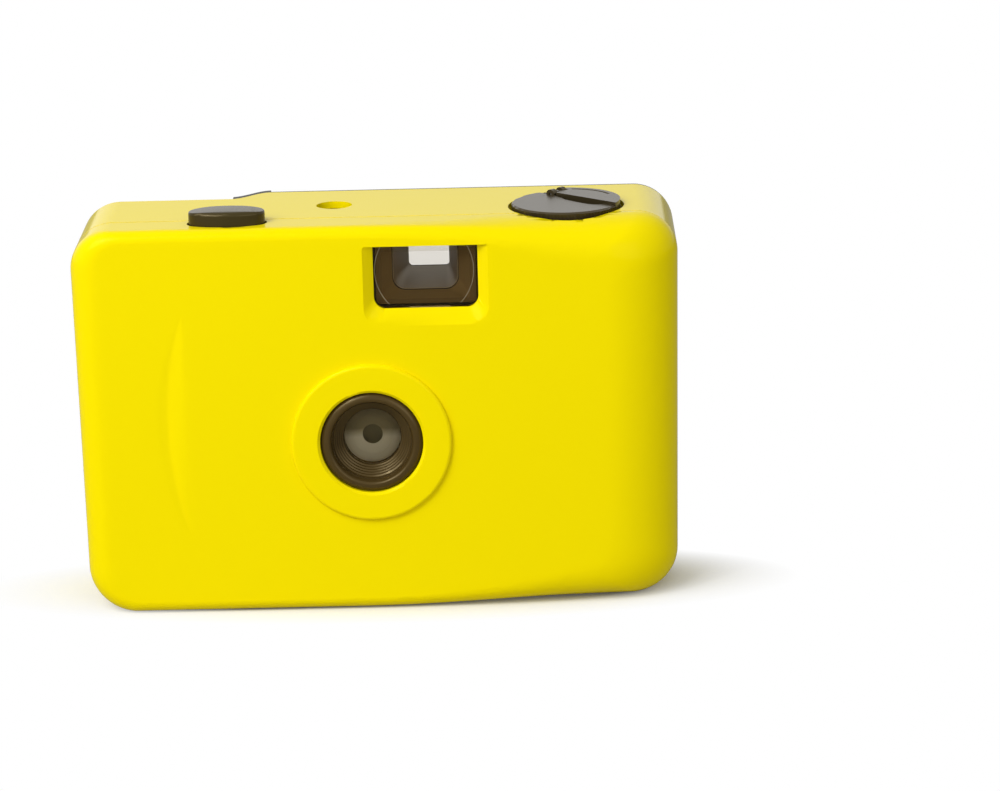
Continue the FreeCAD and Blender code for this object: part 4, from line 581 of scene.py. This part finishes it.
# %% Numbers on the dial
DIAL = Vector((-13.4, 3.1, 69.4)) * MM
FRAMES, TURN_PER_FRAME, FRAMES_PER_NUMBER = 40, -9, 4
NUMBERS_AT, STROKES_AT, INK_LEVEL = 5.6, 6.9, 0.006
marks = []
for number in range(FRAMES):
    turn = TURN_PER_FRAME * number
    if number % FRAMES_PER_NUMBER == 0:
        mark = begin("dial_number", bpy.ops.object.text_add)
        mark.data.body = str(number)
        mark.data.size = 2.4 * MM
        mark.data.align_x = "CENTER"
        mark.data.align_y = "CENTER"
        mark.data.extrude = 0.005 * MM
        bpy.ops.object.convert(target="MESH")
        mark.rotation_euler = (0, 0, math.radians(180 + turn))
        reach = NUMBERS_AT
    else:
        mark = begin("dial_stroke", bpy.ops.mesh.primitive_cube_add, size=1)
        mark.scale = (1.2 * MM, 0.2 * MM, 0.01 * MM)
        mark.rotation_euler = (0, 0, math.radians(turn))
        reach = STROKES_AT
    across, along = around(turn)
    mark.location = DIAL + Vector((reach * across, reach * along, INK_LEVEL)) * MM
    marks.append(mark)
only(*marks)
bpy.ops.object.join()
dial_print = bpy.context.object
dial_print.name = "counter_dial_numbers"
dress(dial_print, dial_ink, "counter")

# %% [markdown]
# The groove on the crank
#
# A short curved groove near the rim, for a fingertip. A thin arc is spun about the knob's axis and
# cut out of the crank.

# %% Crank groove
def cut(piece, cutter):
    """Cuts the cutter's shape out of a piece, and smooths what is left again."""
    opening = piece.modifiers.new("opening", "BOOLEAN")
    opening.operation = "DIFFERENCE"
    opening.solver = "EXACT"
    opening.object = cutter
    only(piece)
    bpy.ops.object.modifier_apply(modifier="opening")
    bpy.data.objects.remove(cutter)
    smooth(piece)
    count(piece)


KNOB = Vector((35.5, -1.6, 74.2)) * MM
GROOVE_START, GROOVE_TURN = 24, 58
GROOVE_SECTION = ((8.55, -0.3), (9.05, -0.3), (9.15, 0.4), (8.45, 0.4))
across, along = around(GROOVE_START)
groove = closed_line("groove_cutter", [KNOB + Vector((radius * across, radius * along, height)) * MM
                                       for radius, height in GROOVE_SECTION])
spin(20, -GROOVE_TURN, KNOB, (0, 0, 1))
cut(surface["rewind_crank"], groove)

# %% [markdown]
# The knob's rim and its fingernail pocket
#
# Beside the crank's straight edge the disc falls away into a dark pocket, so that a fingernail can
# lift the crank. Its outline is cut down into the disc. A small plug closes the end of the drilled
# hole of the crank's pin, and a smooth turned band goes round the rim.

# %% Pocket, plug and band
KNOB_TURN = Matrix.Rotation(math.radians(47), 3, "Z")
POCKET_FLOOR, ABOVE_DISC = 72.1, 75.0
PLUG_FOOT, PLUG_TOP = 73.2, 73.69


def on_knob(x, y, z):
    """A point given in the knob's own frame, which is turned."""
    return Vector((KNOB.x, KNOB.y, 0)) + KNOB_TURN @ Vector((x, y, z)) * MM


def upright_prism(name, outline, low, high):
    """A closed outline in the knob's frame, extruded from one height to another."""
    piece = closed_line(name, [on_knob(x, y, low) for x, y in outline], fill_type="NGON")
    bpy.ops.object.mode_set(mode="EDIT")
    bpy.ops.mesh.select_all(action="SELECT")
    bpy.ops.mesh.extrude_region_move(TRANSFORM_OT_translate={"value": (0, 0, (high - low) * MM)})
    bpy.ops.mesh.select_all(action="SELECT")
    bpy.ops.mesh.normals_make_consistent(inside=False)
    bpy.ops.object.mode_set(mode="OBJECT")
    return piece


under_crank = [(4.8, 3.4), (3.2, 3.4), (1.79, 2.69)]
shore = [(1.15, 1.3), (0.95, -0.1), (0.85, -1.5), (0.7, -3.5), (0.75, -5.0), (1.0, -6.0)]
round_end = [(1.6, -6.7), (2.56, -6.95), (3.6, -6.7), (4.8, -6.0)]
pocket = upright_prism("pocket_cutter", under_crank + shore + round_end, POCKET_FLOOR, ABOVE_DISC)
cut(surface["rewind_knob"], pocket)

hole_end = [(-0.1, 6.2), (3.05, 6.2), (3.05, 7.0), (-0.1, 7.0)]
plug = upright_prism("pin_hole_plug", hole_end, PLUG_FOOT, PLUG_TOP)
dress(plug, black_satin, "rewind_knob")

band_wall = [(9.85, 71.25), (10.09, 71.25), (10.09, 73.4)]
band_top = [(10.0, 73.5), (9.9, 73.5), (9.85, 73.3)]
band = closed_line("knob_rim_band", [Vector((KNOB.x + radius * MM, KNOB.y, height * MM))
                                     for radius, height in band_wall + band_top])
spin(96, 360, KNOB, (0, 0, 1))
dress(band, black_satin, "rewind_knob")

# %% [markdown]
# The pressure plate's spring
#
# The leaf spring between the door and the plate gets a mesh of its own.

# %% The spring's own mesh
low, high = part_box("pressure_spring")
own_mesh(surface["pressure_spring"])

# %% [markdown]
# The studio
#
# A plain white table and white all round, a large soft lamp from the upper left, a weak one from
# the front right, and a small one beside the first, which gives the small sharp highlights. What
# the camera, the glass and the metal see of the surroundings is plain white. To the camera the
# table turns plain white within a few millimetres of the part, so only the shadow under it remains.
# That distance is measured in half the size of the camera's foot, so the white lies in an oval.

# %% Floor
HALF_FOOT = (0.056, 0.018, 1.0)
FADE_START, FADE_END = 0.95, 1.4
floor = begin("studio_floor", bpy.ops.mesh.primitive_plane_add, size=6.0,
              location=(0, 0, -0.1 * MM))
paper = bpy.data.materials.new("studio_paper")
paper.use_nodes = True
paper.node_tree.nodes.clear()
ray = add(paper, "ShaderNodeLightPath")
bright = add(paper, "ShaderNodeMapRange", {"To Min": 0.5, "To Max": 1.0},
             {"Value": (ray, "Is Camera Ray")})
matt = add(paper, "ShaderNodeBsdfDiffuse", {}, {"Color": (bright, "Result")})
place = add(paper, "ShaderNodeTexCoord")
oval = add(paper, "ShaderNodeVectorMath", {"operation": "DIVIDE"}, {"Vector": (place, "Object")})
oval.inputs[1].default_value = HALF_FOOT
distance = add(paper, "ShaderNodeVectorMath", {"operation": "LENGTH"}, {"Vector": (oval, "Vector")})
fade = add(paper, "ShaderNodeMapRange",
           {"From Min": FADE_START, "From Max": FADE_END, "To Min": 0.05, "To Max": 1.0},
           {"Value": (distance, "Value")})
white_share = add(paper, "ShaderNodeMath", {"operation": "MULTIPLY"},
                  {0: (fade, "Result"), 1: (ray, "Is Camera Ray")})
white = add(paper, "ShaderNodeEmission", {"Color": (1, 1, 1, 1), "Strength": 1.0})
table = add(paper, "ShaderNodeMixShader", {},
            {"Fac": (white_share, "Value"), 1: (matt, "BSDF"), 2: (white, "Emission")})
add(paper, "ShaderNodeOutputMaterial", {}, {"Surface": (table, "Shader")})
floor.data.materials.append(paper)

# %% World
ROOM_LIGHT = 0.386
world = bpy.context.scene.world or bpy.data.worlds.new("studio")
bpy.context.scene.world = world
world.use_nodes = True
world.node_tree.nodes.clear()
ray = add(world, "ShaderNodeLightPath")
seen = add(world, "ShaderNodeMath", {"operation": "MAXIMUM"},
           {0: (ray, "Is Camera Ray"), 1: (ray, "Is Transmission Ray")})
seen_or_mirrored = add(world, "ShaderNodeMath", {"operation": "MAXIMUM"},
                       {0: (seen, "Value"), 1: (ray, "Is Glossy Ray")})
lit = add(world, "ShaderNodeBackground", {"Color": (1, 1, 1, 1), "Strength": ROOM_LIGHT})
shown = add(world, "ShaderNodeBackground", {"Color": (1, 1, 1, 1), "Strength": 1.0})
either = add(world, "ShaderNodeMixShader", {},
             {"Fac": (seen_or_mirrored, "Value"), 1: (lit, "Background"), 2: (shown, "Background")})
add(world, "ShaderNodeOutputWorld", {}, {"Surface": (either, "Shader")})
print("world nodes", len(world.node_tree.nodes))


# %% Lamps
def soft_lamp(name, place, size, watts):
    """A square lamp that faces the middle of the camera."""
    lamp = begin(name, bpy.ops.object.light_add, type="AREA", location=place)
    lamp.data.size = size
    lamp.data.energy = watts
    lamp.rotation_euler = (MIDDLE - Vector(place)).to_track_quat("-Z", "Y").to_euler()
    print(name, size, "m", watts, "W")


MIDDLE = Vector((0, 0, 0.04))
soft_lamp("key_lamp", (-0.45, -0.55, 0.62), size=0.65, watts=6.3)
soft_lamp("fill_lamp", (0.6, -1.15, 0.4), size=0.6, watts=1.6)
soft_lamp("glint_lamp", (-0.47, -0.6, 0.7), size=0.06, watts=0.7)

# %% Camera
camera_data = bpy.data.cameras.new("photo_camera")
camera_data.sensor_width = 36.0
camera_data.lens = 151.2
camera_data.clip_start = 0.01
photo_camera = bpy.data.objects.new("photo_camera", camera_data)
bpy.context.collection.objects.link(photo_camera)
photo_camera.location = Vector((29.29, -765.54, 237.33)) * MM
photo_camera.rotation_euler = Euler([math.radians(angle) for angle in (75.2811, 1.3816, 0.1563)])
bpy.context.scene.camera = photo_camera
bpy.context.scene.view_settings.view_transform = "Standard"
print("camera at", photo_camera.location)
